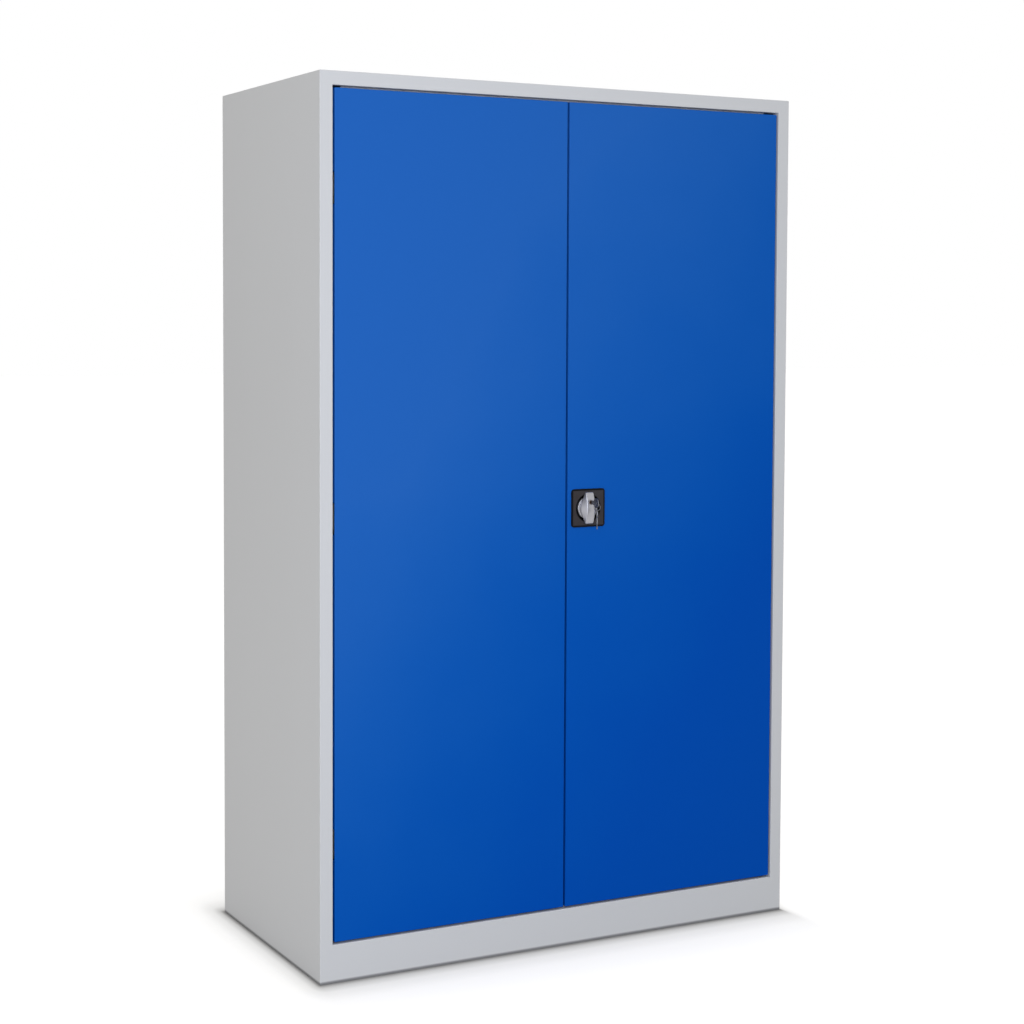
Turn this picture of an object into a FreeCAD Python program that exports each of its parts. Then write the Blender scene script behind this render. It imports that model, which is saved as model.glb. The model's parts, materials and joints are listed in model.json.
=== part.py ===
"""Steel tool cabinet with two hinged doors and a three-point turn-handle lock.

Lengths are in millimetres and angles in degrees. X is the width, +Y runs from the
front face into the cabinet, +Z is up. The origin is on the floor, under the centre.
"""
import FreeCAD, Part
import math
import os

V = FreeCAD.Vector

# Overall size and sheet metal
width = 1200.0
depth = 600.0
height = 1950.0
sheet = 0.9
bend_radius = 1.5
overrun = 5.0
running_clearance = 0.05
seat_gap = 0.3

# Door opening and the folded front posts
stile_width = 29.5
plinth_height = 84.0
header_height = 30.0
post_depth = 24.0
post_rear_flange = 17.5
stop_lip_height = 15.0
stop_lip_thickness = 3.0
stop_lip_end_setback = 27.5
plinth_hem_drop = 39.0
top_return = 20.0
roof_edge_gap = 1.0

# Floor, base and back
floor_flange = 24.0
floor_rail_width = 50.0
floor_rail_flange = 15.0
rear_rail_return = 20.0
base_plate_size = 70.0
base_plate_thickness = 3.0
base_plate_setback = 30.0
base_hole_radius = 5.5
back_seam_gap = 2.0
back_rail_width = 60.0
back_rail_depth = 12.2
back_rail_flange = 15.0
field_inset = 70.0
field_depth = 3.0
field_slope = 9.0
field_rows = 3

# Slotted uprights, shelves and their clips
upright_sheet = 1.2
upright_width = 25.0
upright_depth = 12.1
upright_front_setback = 60.0
upright_rear_setback = 65.0
upright_foot_gap = 26.0
upright_head_gap = 58.0
slot_pitch = 25.0
slot_height = 15.0
slot_width = 3.0
slot_side_clearance = 0.3
shelf_slots = (12, 27, 42, 57)
shelf_edge = 25.0
shelf_hem = 12.0
shelf_side_gap = 4.0
shelf_rear_setback = 16.0
clip_sheet = 1.5
clip_width = 20.0
clip_ledge = 16.0
clip_ledge_drop = 14.0
clip_top_rise = 6.0
hook_neck_top = 2.0
hook_reach = 3.2
hook_drop = 12.0

# Doors
door_gap = 5.0
door_face_recess = 1.0
door_depth = 21.0
door_lip = 14.0
door_stiffener_width = 60.0
door_stiffener_depth = 15.0
door_stiffener_flange = 15.0
door_stiffener_end_gap = 17.0
buffer_radius = 5.0
buffer_x = 150.0

# Hinges, three on each door
pivot_from_door_edge = 12.0
pivot_behind_face = 8.0
hinge_pin_radius = 3.0
knuckle_radius = 5.5
frame_knuckle_length = 18.0
door_knuckle_length = 24.0
knuckle_gap = 0.3
hinge_share = 0.385
frame_leaf_thickness = 2.5
frame_leaf_reach = 31.0
door_leaf_thickness = 2.0
door_leaf_reach = 30.0
hinge_notch_clearance = 4.0
pin_head_radius = 4.2
pin_head_height = 2.0

# Lock: plate, recess and where it sits on the right-hand door
lock_x = 55.0
lock_z = 1001.5
lock_plate_width = 87.0
lock_plate_height = 87.0
lock_plate_thickness = 3.0
lock_plate_corner = 7.0
lock_cup_width = 76.0
lock_cup_height = 78.0
lock_cup_depth = 13.0
lock_cup_floor = 2.5
cutout_clearance = 0.5
recess_radius = 31.5
recess_depth = 8.0
hub_boss_radius = 12.0

# Turn handle and its lock cylinder
handle_disc_radius = 25.5
handle_disc_proud = 1.2
handle_floor_gap = 1.0
grip_length = 71.5
grip_base_width = 40.0
grip_ridge_width = 18.0
grip_middle_proud = 16.0
grip_end_proud = 8.0
grip_edge_radius = 1.5
grip_section_shares = ((-1, 0.51, 1.08), (-0.93, 0.55, 1.15), (-0.75, 0.66, 1.10), (-0.4, 0.87, 1.03),
                       (0, 1, 1),
                       (0.4, 0.87, 1.03), (0.75, 0.66, 1.10), (0.93, 0.55, 1.15), (1, 0.51, 1.08))
hub_radius = 8.0
hub_clearance = 0.1
hub_length = 11.0
spindle_side = 8.0
cylinder_rise = 13.5
cylinder_radius = 6.4
cylinder_proud = 0.25
plug_radius = 4.7
plug_proud = 0.3
locking_pin_radius = 1.2
locking_pin_offset = 3.2
locking_pin_slack = 0.15
bolt_thickness = 2.4
bolt_pocket_depth = 3.0
bolt_cover = 1.2
bolt_half_width = 2.5
bolt_plate_half_width = 5.4
bolt_plate_below = 5.2
bolt_plate_above = 1.2
bolt_tip_gap = 2.0
bolt_side_clearance = 0.2
bolt_notch_depth = 4.5

# Gear case behind the plate, pinion, racks and the two lock rods
case_width = 72.0
case_height = 84.0
case_wall = 2.0
case_depth = 24.5
cover_thickness = 1.5
case_boss_radius = 4.0
case_boss_inset = 6.5
lock_screw_radius = 2.0
lock_screw_head_radius = 3.8
lock_screw_head = 2.2
lock_screw_grip = 3.0
gear_module = 1.1
pinion_teeth = 18
pressure_angle = 20.0
gear_backlash = 0.16
dedendum_share = 1.25
flank_steps = 5
rod_radius = 4.0
rod_behind_lip = 2.0
rack_back = 5.5
rack_margin = 14.0
pinion_side_play = 0.5
handle_turn = 90.0
rod_tip_gap = 3.0
rod_tip_chamfer = 2.0
guide_width = 24.0
guide_thickness = 1.2
guide_drop = 23.0
guide_tab = 2.5
guide_behind_rod = 4.0
rivet_radius = 2.0
rivet_head_radius = 3.4
rivet_head_height = 0.5
rivet_spacing = 14.0

# Latch tongue and the strike on the left-hand door
tongue_thickness = 3.0
tongue_reach = 68.0
tongue_width = 14.0
tongue_hub_radius = 11.0
tongue_head_gap = 0.5
spindle_screw_radius = 2.4
spindle_screw_head_radius = 6.0
spindle_screw_head = 3.0
spindle_screw_length = 12.0
strike_height = 30.0
strike_thickness = 1.5
strike_edge_gap = 1.5
strike_tongue_gap = 0.8

# Keys and their ring
key_bow_radius = 11.0
key_hole_radius = 2.5
key_hole_offset = 4.5
key_thickness = 2.0
key_blade_width = 7.0
key_neck = 11.0
key_insert = 14.0
key_cut_depth = 1.6
key_cut_pitch = 2.7
key_cut_shares = (0.55, 1.0, 0.35, 0.8)
key_slot_clearance = 0.1
ring_radius = 8.0
ring_wire_radius = 0.8
ring_hang_gap = 0.55
spare_key_twist = 25.0

# Places worked out from the sizes above
front_y = -depth / 2
rear_y = depth / 2
side_x = width / 2
opening_x = side_x - stile_width
opening_top = height - header_height
post_rear_y = front_y + post_depth
lip_rear_y = post_rear_y + stop_lip_thickness
lip_half_length = opening_x - stop_lip_end_setback
back_front_y = rear_y - 2 * sheet
ceiling = height - 2 * sheet
door_face_y = front_y + door_face_recess
door_skin_y = door_face_y + sheet
door_rear_y = door_face_y + door_depth
door_hinge_x = opening_x - door_gap
door_free_x = door_gap / 2
door_low = plinth_height + door_gap
door_high = opening_top - door_gap
pivot_x = door_hinge_x - pivot_from_door_edge
pivot_y = door_face_y + pivot_behind_face
hinge_span = (door_high - door_low) * hinge_share
hinge_middle = (door_high + door_low) / 2
hinge_heights = [hinge_middle + step * hinge_span for step in (-1, 0, 1)]
hinge_half = frame_knuckle_length + door_knuckle_length / 2 + knuckle_gap
upright_x = side_x - sheet - upright_depth
upright_front_y = front_y + upright_front_setback
upright_rear_y = rear_y - upright_rear_setback
shelf_rear_y = rear_y - shelf_rear_setback
upright_low = plinth_height + upright_foot_gap
upright_high = ceiling - upright_head_gap
slot_count = int((upright_high - upright_low) / slot_pitch)
shelf_half = upright_x - shelf_side_gap
plate_front_y = door_face_y - lock_plate_thickness
recess_floor_y = plate_front_y + recess_depth
cup_rear_y = door_face_y + lock_cup_depth
disc_front_y = door_face_y - handle_disc_proud
disc_rear_y = recess_floor_y - handle_floor_gap
grip_front_y = door_face_y - grip_middle_proud
key_z = lock_z + cylinder_rise
cylinder_low_share = 2 * (cylinder_rise - cylinder_radius) / grip_length
cylinder_dip = (grip_middle_proud - grip_end_proud) * cylinder_low_share ** 2
cylinder_front_y = grip_front_y + cylinder_dip - cylinder_proud
cylinder_rear_y = disc_front_y + bolt_cover
hub_rear_y = disc_rear_y + hub_length
case_rear_y = cup_rear_y + case_depth
cover_rear_y = case_rear_y + cover_thickness
rod_y = lip_rear_y + rod_behind_lip + rod_radius
pitch_radius = gear_module * pinion_teeth / 2
rod_travel = pitch_radius * math.radians(handle_turn)
rack_root = pitch_radius + gear_module * dedendum_share
rack_outer = rack_root + rack_back
rod_offset = (rack_root + rack_outer) / 2
stop_lip_low = opening_top - stop_lip_height
stop_lip_high = plinth_height + stop_lip_height
tongue_front_y = cover_rear_y + lock_screw_head + tongue_head_gap
tongue_rear_y = tongue_front_y + tongue_thickness
bolt_throw = 2 * locking_pin_offset * math.sin(math.radians(handle_turn / 2))
hang_drop = key_hole_radius - ring_wire_radius - ring_hang_gap


def block(x0, x1, y0, y1, z0, z1):
    """Box between two corners given in any order."""
    corner = V(min(x0, x1), min(y0, y1), min(z0, z1))
    return Part.makeBox(abs(x1 - x0), abs(y1 - y0), abs(z1 - z0), corner)


def round_y(radius, x, z, y0, y1):
    """Cylinder along Y."""
    return Part.makeCylinder(radius, y1 - y0, V(x, y0, z), V(0, 1, 0))


def round_z(radius, x, y, z0, z1):
    """Cylinder along Z."""
    return Part.makeCylinder(radius, z1 - z0, V(x, y, z0), V(0, 0, 1))


def joined(shapes):
    """One solid from pieces that meet."""
    return shapes[0].fuse(shapes[1:]).removeSplitter()


def rounded_block(x0, x1, y0, y1, z0, z1, radius):
    """Box with all twelve edges rounded."""
    solid = block(x0, x1, y0, y1, z0, z1)
    return solid.makeFillet(radius, solid.Edges)


def lock_block(half_w, half_h, y0, y1):
    """Box about the lock's front-to-back line."""
    return block(lock_x - half_w, lock_x + half_w, y0, y1, lock_z - half_h, lock_z + half_h)


def lock_round(radius, y0, y1):
    """Cylinder on the lock's front-to-back line."""
    return round_y(radius, lock_x, lock_z, y0, y1)


def key_round(radius, y0, y1):
    """Cylinder on the key's front-to-back line."""
    return round_y(radius, lock_x, key_z, y0, y1)


def mirrored(shape):
    """The same piece for the other side of the cabinet."""
    return shape.mirror(V(0, 0, 0), V(1, 0, 0))


def prism_y(points, y0, y1):
    """Outline of (x, z) points carried along Y."""
    corners = [V(x, y0, z) for x, z in points]
    face = Part.Face(Part.makePolygon(corners + corners[:1]))
    return face.extrude(V(0, y1 - y0, 0))


def edge_round_z(x, y, sign_x, sign_y, z0, z1):
    """What a rounded upright edge takes off a square one."""
    inner_x = x - sign_x * bend_radius
    inner_y = y - sign_y * bend_radius
    waste = block(x, inner_x, y, inner_y, z0, z1)
    return waste.cut(round_z(bend_radius, inner_x, inner_y, z0, z1))


def edge_round_x(y, z, sign_y, sign_z, x0, x1):
    """What a rounded level edge takes off a square one."""
    inner_y = y - sign_y * bend_radius
    inner_z = z - sign_z * bend_radius
    waste = block(x0, x1, y, inner_y, z, inner_z)
    core = Part.makeCylinder(bend_radius, x1 - x0, V(x0, inner_y, inner_z), V(1, 0, 0))
    return waste.cut(core)


def envelope():
    """Outer box of the carcass with its folded edges rounded."""
    return rounded_block(-side_x, side_x, front_y, rear_y, 0, height, bend_radius)


def save(name, solids):
    """Write one node; a group keeps its pieces as separate solids."""
    pieces = solids if isinstance(solids, list) else [solids]
    parts = [solid for piece in pieces for solid in piece.Solids]
    shape = parts[0] if len(parts) == 1 else Part.makeCompound(parts)
    if not shape.isValid():
        raise ValueError(name + " is not a valid shape")
    shape.exportStep("parts/" + name + ".step")
    volume = sum(part.Volume for part in parts)
    print(name, len(parts), round(volume, 1))
    return shape


def side_panel():
    """Right-hand side wall with its folded front post and four flanges."""
    outer = side_x
    skin = outer - sheet
    inner = opening_x
    post_flange_x = inner + post_rear_flange
    wall = block(skin, outer, front_y, rear_y, 0, height)
    stile = block(inner, outer, front_y, front_y + sheet, 0, height)
    post = block(inner, inner + sheet, front_y, post_rear_y, sheet, ceiling)
    post_flange = block(inner, post_flange_x, post_rear_y - sheet, post_rear_y, sheet, ceiling)
    rear = block(inner, outer, rear_y - sheet, rear_y, 0, height)
    top = block(inner, outer, front_y, rear_y, height - sheet, height)
    foot = block(inner, outer, post_rear_y, back_front_y, 0, sheet)
    toe = block(inner, outer, front_y, post_rear_y, 0, sheet)
    panel = joined([wall, stile, post, post_flange, rear, top, foot, toe])
    panel = panel.common(envelope())
    return panel.cut(edge_round_z(inner, front_y, -1, -1, plinth_height, opening_top))


def top_panel():
    """Roof welded under the folded top flanges, its middle pressed up flush with them."""
    skin = side_x - sheet
    rim = block(-skin, skin, front_y + sheet, back_front_y, ceiling, ceiling + sheet)
    half = opening_x - roof_edge_gap
    front = front_y + top_return + roof_edge_gap
    rear = rear_y - sheet - top_return - roof_edge_gap
    raised = block(-half, half, front, rear, ceiling + sheet, height)
    under = block(bend_radius - half, half - bend_radius, front + bend_radius, rear - bend_radius,
                  ceiling - overrun, ceiling + sheet)
    return joined([rim.cut(under), raised])


def header_rail():
    """Folded rail over the doors with the stop lip that hangs behind them."""
    face = block(-opening_x, opening_x, front_y, front_y + sheet, opening_top, height)
    under = block(-opening_x, opening_x, front_y, post_rear_y + sheet, opening_top, opening_top + sheet)
    over = block(-opening_x, opening_x, front_y, front_y + top_return, height - sheet, height)
    half = lip_half_length
    lip = block(-half, half, post_rear_y, post_rear_y + sheet, stop_lip_low, opening_top + sheet)
    hem = block(-half, half, post_rear_y, lip_rear_y, stop_lip_low, stop_lip_low + sheet)
    rise = block(-half, half, lip_rear_y - sheet, lip_rear_y, stop_lip_low, ceiling)
    rail = joined([face, under, over, lip, hem, rise]).common(envelope())
    return rail.cut(edge_round_x(front_y, opening_top, -1, -1, -opening_x, opening_x))


def base_plinth():
    """Folded plinth under the doors with the stop lip that stands behind them."""
    face = block(-opening_x, opening_x, front_y, front_y + sheet, 0, plinth_height)
    foot = block(-opening_x, opening_x, front_y, post_rear_y, 0, sheet)
    shelf_z = plinth_height - sheet
    over = block(-opening_x, opening_x, front_y, post_rear_y + sheet, shelf_z, plinth_height)
    half = lip_half_length
    lip = block(-half, half, post_rear_y, post_rear_y + sheet, shelf_z, stop_lip_high)
    hem = block(-half, half, post_rear_y, lip_rear_y, stop_lip_high - sheet, stop_lip_high)
    hem_low = stop_lip_high - plinth_hem_drop
    drop = block(-half, half, lip_rear_y - sheet, lip_rear_y, hem_low, stop_lip_high)
    rail = joined([face, foot, over, lip, hem, drop]).common(envelope())
    return rail.cut(edge_round_x(front_y, plinth_height, -1, 1, -opening_x, opening_x))


def floor_panel():
    """Floor of the cabinet, level with the plinth top, with folded-down edges."""
    skin = side_x - sheet
    low = plinth_height - floor_flange
    half = lip_half_length
    deck = block(-skin, skin, lip_rear_y, back_front_y, plinth_height - sheet, plinth_height)
    edges = [
        block(-half, half, lip_rear_y, lip_rear_y + sheet, low, plinth_height),
        block(-skin, skin, back_front_y - sheet, back_front_y, plinth_height - sheet, stop_lip_high),
    ]
    for side in (-1, 1):
        edges.append(block(side * skin, side * (skin - sheet), lip_rear_y, back_front_y, low, plinth_height))
    return joined([deck] + edges)


def floor_rail():
    """Trough-shaped rail that carries the middle of the floor, front to back."""
    half = floor_rail_width / 2
    rear = back_front_y - rear_rail_return
    start = lip_rear_y + sheet
    high = plinth_height - sheet
    parts = [block(-half, half, start, rear, 0, sheet)]
    for side in (-1, 1):
        inner = side * (half - sheet)
        outer = side * (half + floor_rail_flange)
        parts.append(block(side * half, inner, start, rear, 0, high))
        parts.append(block(inner, outer, start, rear, high - sheet, high))
    return joined(parts)


def rear_base_rail():
    """Channel across the back, between the ground and the floor panel."""
    half = opening_x
    front = back_front_y - rear_rail_return
    high = plinth_height - sheet
    web = block(-half, half, back_front_y - sheet, back_front_y, 0, high)
    foot = block(-half, half, front, back_front_y, 0, sheet)
    cap = block(-half, half, front, back_front_y, high - sheet, high)
    return joined([web, foot, cap])


def base_corner_plates():
    """Four drilled plates on the bottom flanges, for fixing to the ground."""
    outer = side_x - sheet
    centre_x = outer - base_plate_size / 2
    centre_y = rear_y - base_plate_setback - base_plate_size / 2
    half = base_plate_size / 2
    top = sheet + base_plate_thickness
    plates = []
    for side_sign in (-1, 1):
        for end_sign in (-1, 1):
            x = side_sign * centre_x
            y = end_sign * centre_y
            plate = block(x - half, x + half, y - half, y + half, sheet, top)
            plates.append(plate.cut(round_z(base_hole_radius, x, y, 0, top + overrun)))
    return plates


def frustum(x0, x1, z0, z1, y0, y1, slope):
    """Rectangle at y0 that narrows by the slope on each side at y1."""
    def ring(inset, y):
        corners = [V(x0 + inset, y, z0 + inset), V(x1 - inset, y, z0 + inset),
                   V(x1 - inset, y, z1 - inset), V(x0 + inset, y, z1 - inset)]
        return Part.makePolygon(corners + corners[:1])
    return Part.makeLoft([ring(0, y0), ring(slope, y1)], True, True)


def back_panel():
    """Right half of the back, with shallow fields pressed into the cabinet."""
    inner = back_seam_gap / 2
    outer = side_x - sheet
    face_y = rear_y - sheet
    plate = block(inner, outer, back_front_y, face_y, 0, height)
    flange = block(inner, opening_x, face_y - top_return, face_y, height - sheet, height)
    beyond = block(opening_x, outer, back_front_y, face_y, height - sheet, height)
    panel = joined([plate, flange]).cut(beyond)
    low = plinth_height + field_inset
    pitch = (height - low) / field_rows
    left = back_rail_width / 2 + back_rail_flange + field_inset / 2
    right = opening_x - field_inset
    for row in range(field_rows):
        z0 = low + row * pitch
        z1 = z0 + pitch - field_inset
        hollow = frustum(left, right, z0, z1, face_y, face_y - field_depth, field_slope)
        skin = frustum(left - sheet, right + sheet, z0 - sheet, z1 + sheet,
                       back_front_y, back_front_y - field_depth, field_slope)
        panel = joined([panel, skin]).cut(hollow)
    return panel


def back_centre_rail():
    """Hat rail inside the back that covers the seam between its two halves."""
    half = back_rail_width / 2
    front = back_front_y - back_rail_depth
    parts = [block(-half, half, front, front + sheet, stop_lip_high, ceiling)]
    for side in (-1, 1):
        parts.append(block(side * half, side * (half - sheet), front, back_front_y - sheet,
                           stop_lip_high, ceiling))
        parts.append(block(side * (half - sheet), side * (half + back_rail_flange), back_front_y - 2 * sheet,
                           back_front_y - sheet, stop_lip_high, ceiling))
    return joined(parts)


def upright(y0):
    """Slotted channel on the inside of the right-hand wall, its front edge at y0."""
    wall_x = side_x - sheet
    y1 = y0 + upright_width
    web = block(upright_x, upright_x + upright_sheet, y0, y1, upright_low, upright_high)
    front = block(upright_x, wall_x, y0, y0 + upright_sheet, upright_low, upright_high)
    back = block(upright_x, wall_x, y1 - upright_sheet, y1, upright_low, upright_high)
    middle = (y0 + y1) / 2
    slots = []
    for index in range(slot_count):
        z = slot_centre(index)
        slots.append(block(upright_x - overrun, upright_x + upright_sheet + seat_gap,
                           middle - slot_width / 2, middle + slot_width / 2,
                           z - slot_height / 2, z + slot_height / 2))
    return joined([web, front, back]).cut(Part.makeCompound(slots))


def slot_centre(index):
    """Height of the middle of one slot in the uprights."""
    return upright_low + slot_pitch / 2 + slot_pitch * index


def ledge_height(index):
    """Height of the clip ledge that hooks into one slot."""
    return slot_centre(index) - clip_ledge_drop


def shelf(index):
    """Tray shelf with folded-down edges, resting on the clips at one slot."""
    low = ledge_height(index)
    high = low + shelf_edge
    half = shelf_half
    front = upright_front_y
    rear = shelf_rear_y
    parts = [block(-half, half, front, rear, high - sheet, high)]
    for side in (-1, 1):
        parts.append(block(side * half, side * (half - sheet), front, rear, low, high))
    for edge_y, inward in ((front, 1), (rear, -1)):
        parts.append(block(-half, half, edge_y, edge_y + inward * sheet, low, high))
        parts.append(block(-half, half, edge_y, edge_y + inward * shelf_hem, low, low + sheet))
    tray = joined(parts)
    trim = rounded_block(-half, half, front, rear, low - height, high, bend_radius)
    return tray.common(trim)


def clip(index, upright_y):
    """Bent clip hooked into one slot of an upright on the right-hand wall."""
    z = slot_centre(index)
    ledge = ledge_height(index)
    middle = upright_y + upright_width / 2
    half = clip_width / 2
    hook_half = slot_width / 2 - slot_side_clearance
    face = upright_x
    plate = block(face - clip_sheet, face, middle - half, middle + half,
                  ledge - clip_sheet, z + clip_top_rise)
    arm = block(face - clip_ledge, face, middle - half, middle + half, ledge - clip_sheet, ledge)
    web_back = face + upright_sheet
    neck = block(face - clip_sheet, face + hook_reach, middle - hook_half, middle + hook_half,
                 z - slot_height / 2, z + hook_neck_top)
    tip = block(web_back + seat_gap, face + hook_reach, middle - hook_half, middle + hook_half,
                z - hook_drop, z + hook_neck_top)
    return joined([plate, arm, neck, tip])


def shelf_clips(index):
    """The four clips under one shelf."""
    right = [clip(index, y) for y in (upright_front_y, upright_rear_y)]
    return right + [mirrored(piece) for piece in right]


def door_buffers():
    """Round rubber stops on the stop lips, two behind each door."""
    lip_middles = (opening_top - stop_lip_height / 2, plinth_height + stop_lip_height / 2)
    front = door_rear_y + seat_gap
    return [round_y(buffer_radius, side * buffer_x, z, front, post_rear_y)
            for side in (-1, 1) for z in lip_middles]


def door_tray():
    """Right-hand door: skin, folded edges and return lips, notched at the hinges."""
    x0 = door_free_x
    x1 = door_hinge_x
    tray = block(x0, x1, door_face_y, door_rear_y, door_low, door_high)
    hollow = block(x0 + sheet, x1 - sheet, door_skin_y, door_rear_y - sheet,
                   door_low + sheet, door_high - sheet)
    mouth = block(x0 + door_lip, x1 - door_lip, door_skin_y, door_rear_y + overrun,
                  door_low + door_lip, door_high - door_lip)
    tray = tray.cut([hollow, mouth])
    shell = rounded_block(x0, x1, door_face_y, door_rear_y, door_low, door_high, bend_radius)
    tray = tray.common(shell)
    reach = hinge_half + hinge_notch_clearance
    notches = [block(x1 - door_lip - overrun, x1 + overrun, door_skin_y + hinge_notch_clearance / 2,
                     door_rear_y + overrun, z - reach, z + reach) for z in hinge_heights]
    return tray.cut(notches)


def door_stiffener():
    """Hat profile glued up the middle of the door's skin."""
    middle = (door_free_x + door_hinge_x) / 2
    half = door_stiffener_width / 2
    low = door_low + door_stiffener_end_gap
    high = door_high - door_stiffener_end_gap
    crown_y = door_skin_y + door_stiffener_depth
    parts = [block(middle - half, middle + half, crown_y - sheet, crown_y, low, high)]
    for side in (-1, 1):
        edge = middle + side * half
        inner = edge - side * sheet
        outer = edge + side * door_stiffener_flange
        parts.append(block(edge, inner, door_skin_y, crown_y, low, high))
        parts.append(block(inner, outer, door_skin_y, door_skin_y + sheet, low, high))
    return joined(parts)


def knuckle_spans(z):
    """Heights of the two frame knuckles and the door knuckle of one hinge."""
    half_door = door_knuckle_length / 2
    low_span = (z - hinge_half, z - half_door - knuckle_gap)
    high_span = (z + half_door + knuckle_gap, z + hinge_half)
    return [low_span, high_span], (z - half_door, z + half_door)


def frame_hinge_leaf(z):
    """Cranked leaf from the post's rear flange to the two outer knuckles."""
    frame_spans, _ = knuckle_spans(z)
    back_y = post_rear_y + frame_leaf_thickness
    arm_x = pivot_x - knuckle_radius
    plate = block(arm_x, arm_x + frame_leaf_reach + knuckle_radius, post_rear_y, back_y,
                  z - hinge_half, z + hinge_half)
    parts = [plate]
    for low, high in frame_spans:
        parts.append(block(arm_x, arm_x + frame_leaf_thickness, pivot_y, back_y, low, high))
        parts.append(round_z(knuckle_radius, pivot_x, pivot_y, low, high))
    bore = round_z(hinge_pin_radius + running_clearance, pivot_x, pivot_y,
                   z - hinge_half - overrun, z + hinge_half + overrun)
    return joined(parts).cut(bore)


def door_hinge_leaf(z):
    """Leaf on the inside of the door's skin with the middle knuckle."""
    _, (low, high) = knuckle_spans(z)
    leaf_y = door_skin_y + door_leaf_thickness
    plate = block(pivot_x - door_leaf_reach, pivot_x, door_skin_y, leaf_y, z - hinge_half, z + hinge_half)
    neck = block(pivot_x - knuckle_radius, pivot_x, door_skin_y, pivot_y, low, high)
    eye = round_z(knuckle_radius, pivot_x, pivot_y, low, high)
    bore = round_z(hinge_pin_radius + running_clearance, pivot_x, pivot_y, low - overrun, high + overrun)
    frame_spans, _ = knuckle_spans(z)
    reliefs = [round_z(knuckle_radius + seat_gap, pivot_x, pivot_y, start - seat_gap, end + overrun)
               if start > z else
               round_z(knuckle_radius + seat_gap, pivot_x, pivot_y, start - overrun, end + seat_gap / 2)
               for start, end in frame_spans]
    return joined([plate.cut(reliefs), neck, eye]).cut(bore)


def hinge_pin(z):
    """Pin through the three knuckles, with a small head on top."""
    top = z + hinge_half
    shank = round_z(hinge_pin_radius, pivot_x, pivot_y, z - hinge_half, top)
    head = round_z(pin_head_radius, pivot_x, pivot_y, top, top + pin_head_height)
    return joined([shank, head])


def right_door_panel():
    """Right-hand door with the lock's cut-out and its rivet holes."""
    half_w = lock_cup_width / 2 + cutout_clearance
    half_h = lock_cup_height / 2 + cutout_clearance
    window = lock_block(half_w, half_h, door_face_y - overrun, door_skin_y + overrun)
    return door_tray().cut([window] + rivet_holes(guide_rivet_places()))


def left_door_panel():
    """Left-hand door, the mirror of the right one without the lock's cut-out."""
    return mirrored(door_tray()).cut(rivet_holes(strike_rivet_places()))


def guide_rivet_places():
    """Middles of the rivets that hold the two rod guides to the door's lips."""
    high_z = door_high - door_lip / 2
    low_z = door_low + door_lip / 2
    upper_x = lock_x - rod_offset
    lower_x = lock_x + rod_offset
    step = rivet_spacing / 2
    return [(x + side * step, z) for x, z in ((upper_x, high_z), (lower_x, low_z)) for side in (-1, 1)]


def strike_rivet_places():
    """Middles of the rivets that hold the strike to the left door's free lip."""
    x = -(door_free_x + door_lip / 2)
    return [(x, lock_z + side * rivet_spacing / 2) for side in (-1, 1)]


def rivet_holes(places):
    """Holes through a return lip and what is riveted to it."""
    start = door_rear_y - sheet - overrun / 2
    return [round_y(rivet_radius + running_clearance, x, z, start, door_rear_y + overrun) for x, z in places]


def rivets(places, thickness):
    """Rivets with a flat head on both sides of the lip and the piece on it."""
    front = door_rear_y - sheet
    back = door_rear_y + thickness
    group = []
    for x, z in places:
        shank = round_y(rivet_radius, x, z, front, back)
        inner = round_y(rivet_head_radius, x, z, front - rivet_head_height, front)
        outer = round_y(rivet_head_radius, x, z, back, back + rivet_head_height)
        group.append(joined([shank, inner, outer]))
    return group


def left_door_strike():
    """Bent catch plate behind which the latch tongue turns."""
    free = -(door_free_x + strike_edge_gap)
    edge = -(door_free_x + door_lip)
    low = lock_z - strike_height / 2
    high = lock_z + strike_height / 2
    catch_y = tongue_front_y - strike_tongue_gap
    foot = block(edge, free, door_rear_y, door_rear_y + strike_thickness, low, high)
    leg = block(edge, edge + strike_thickness, door_rear_y, catch_y, low, high)
    catch = block(edge, free, catch_y - strike_thickness, catch_y, low, high)
    return joined([foot, leg, catch]).cut(rivet_holes(strike_rivet_places()))


def screw_places():
    """Middles of the four screws that hold case and cover to the lock plate."""
    dx = case_width / 2 - case_boss_inset
    dz = case_height / 2 - case_boss_inset
    return [(lock_x + i * dx, lock_z + j * dz) for i in (-1, 1) for j in (-1, 1)]


def screw_holes(y0, y1):
    """Clearance holes for the four lock screws."""
    return [round_y(lock_screw_radius + running_clearance, x, z, y0, y1) for x, z in screw_places()]


def bolt_front():
    """Front plane of the small bolt that the key throws."""
    return cylinder_rear_y + (bolt_pocket_depth - bolt_thickness) / 2


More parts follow.
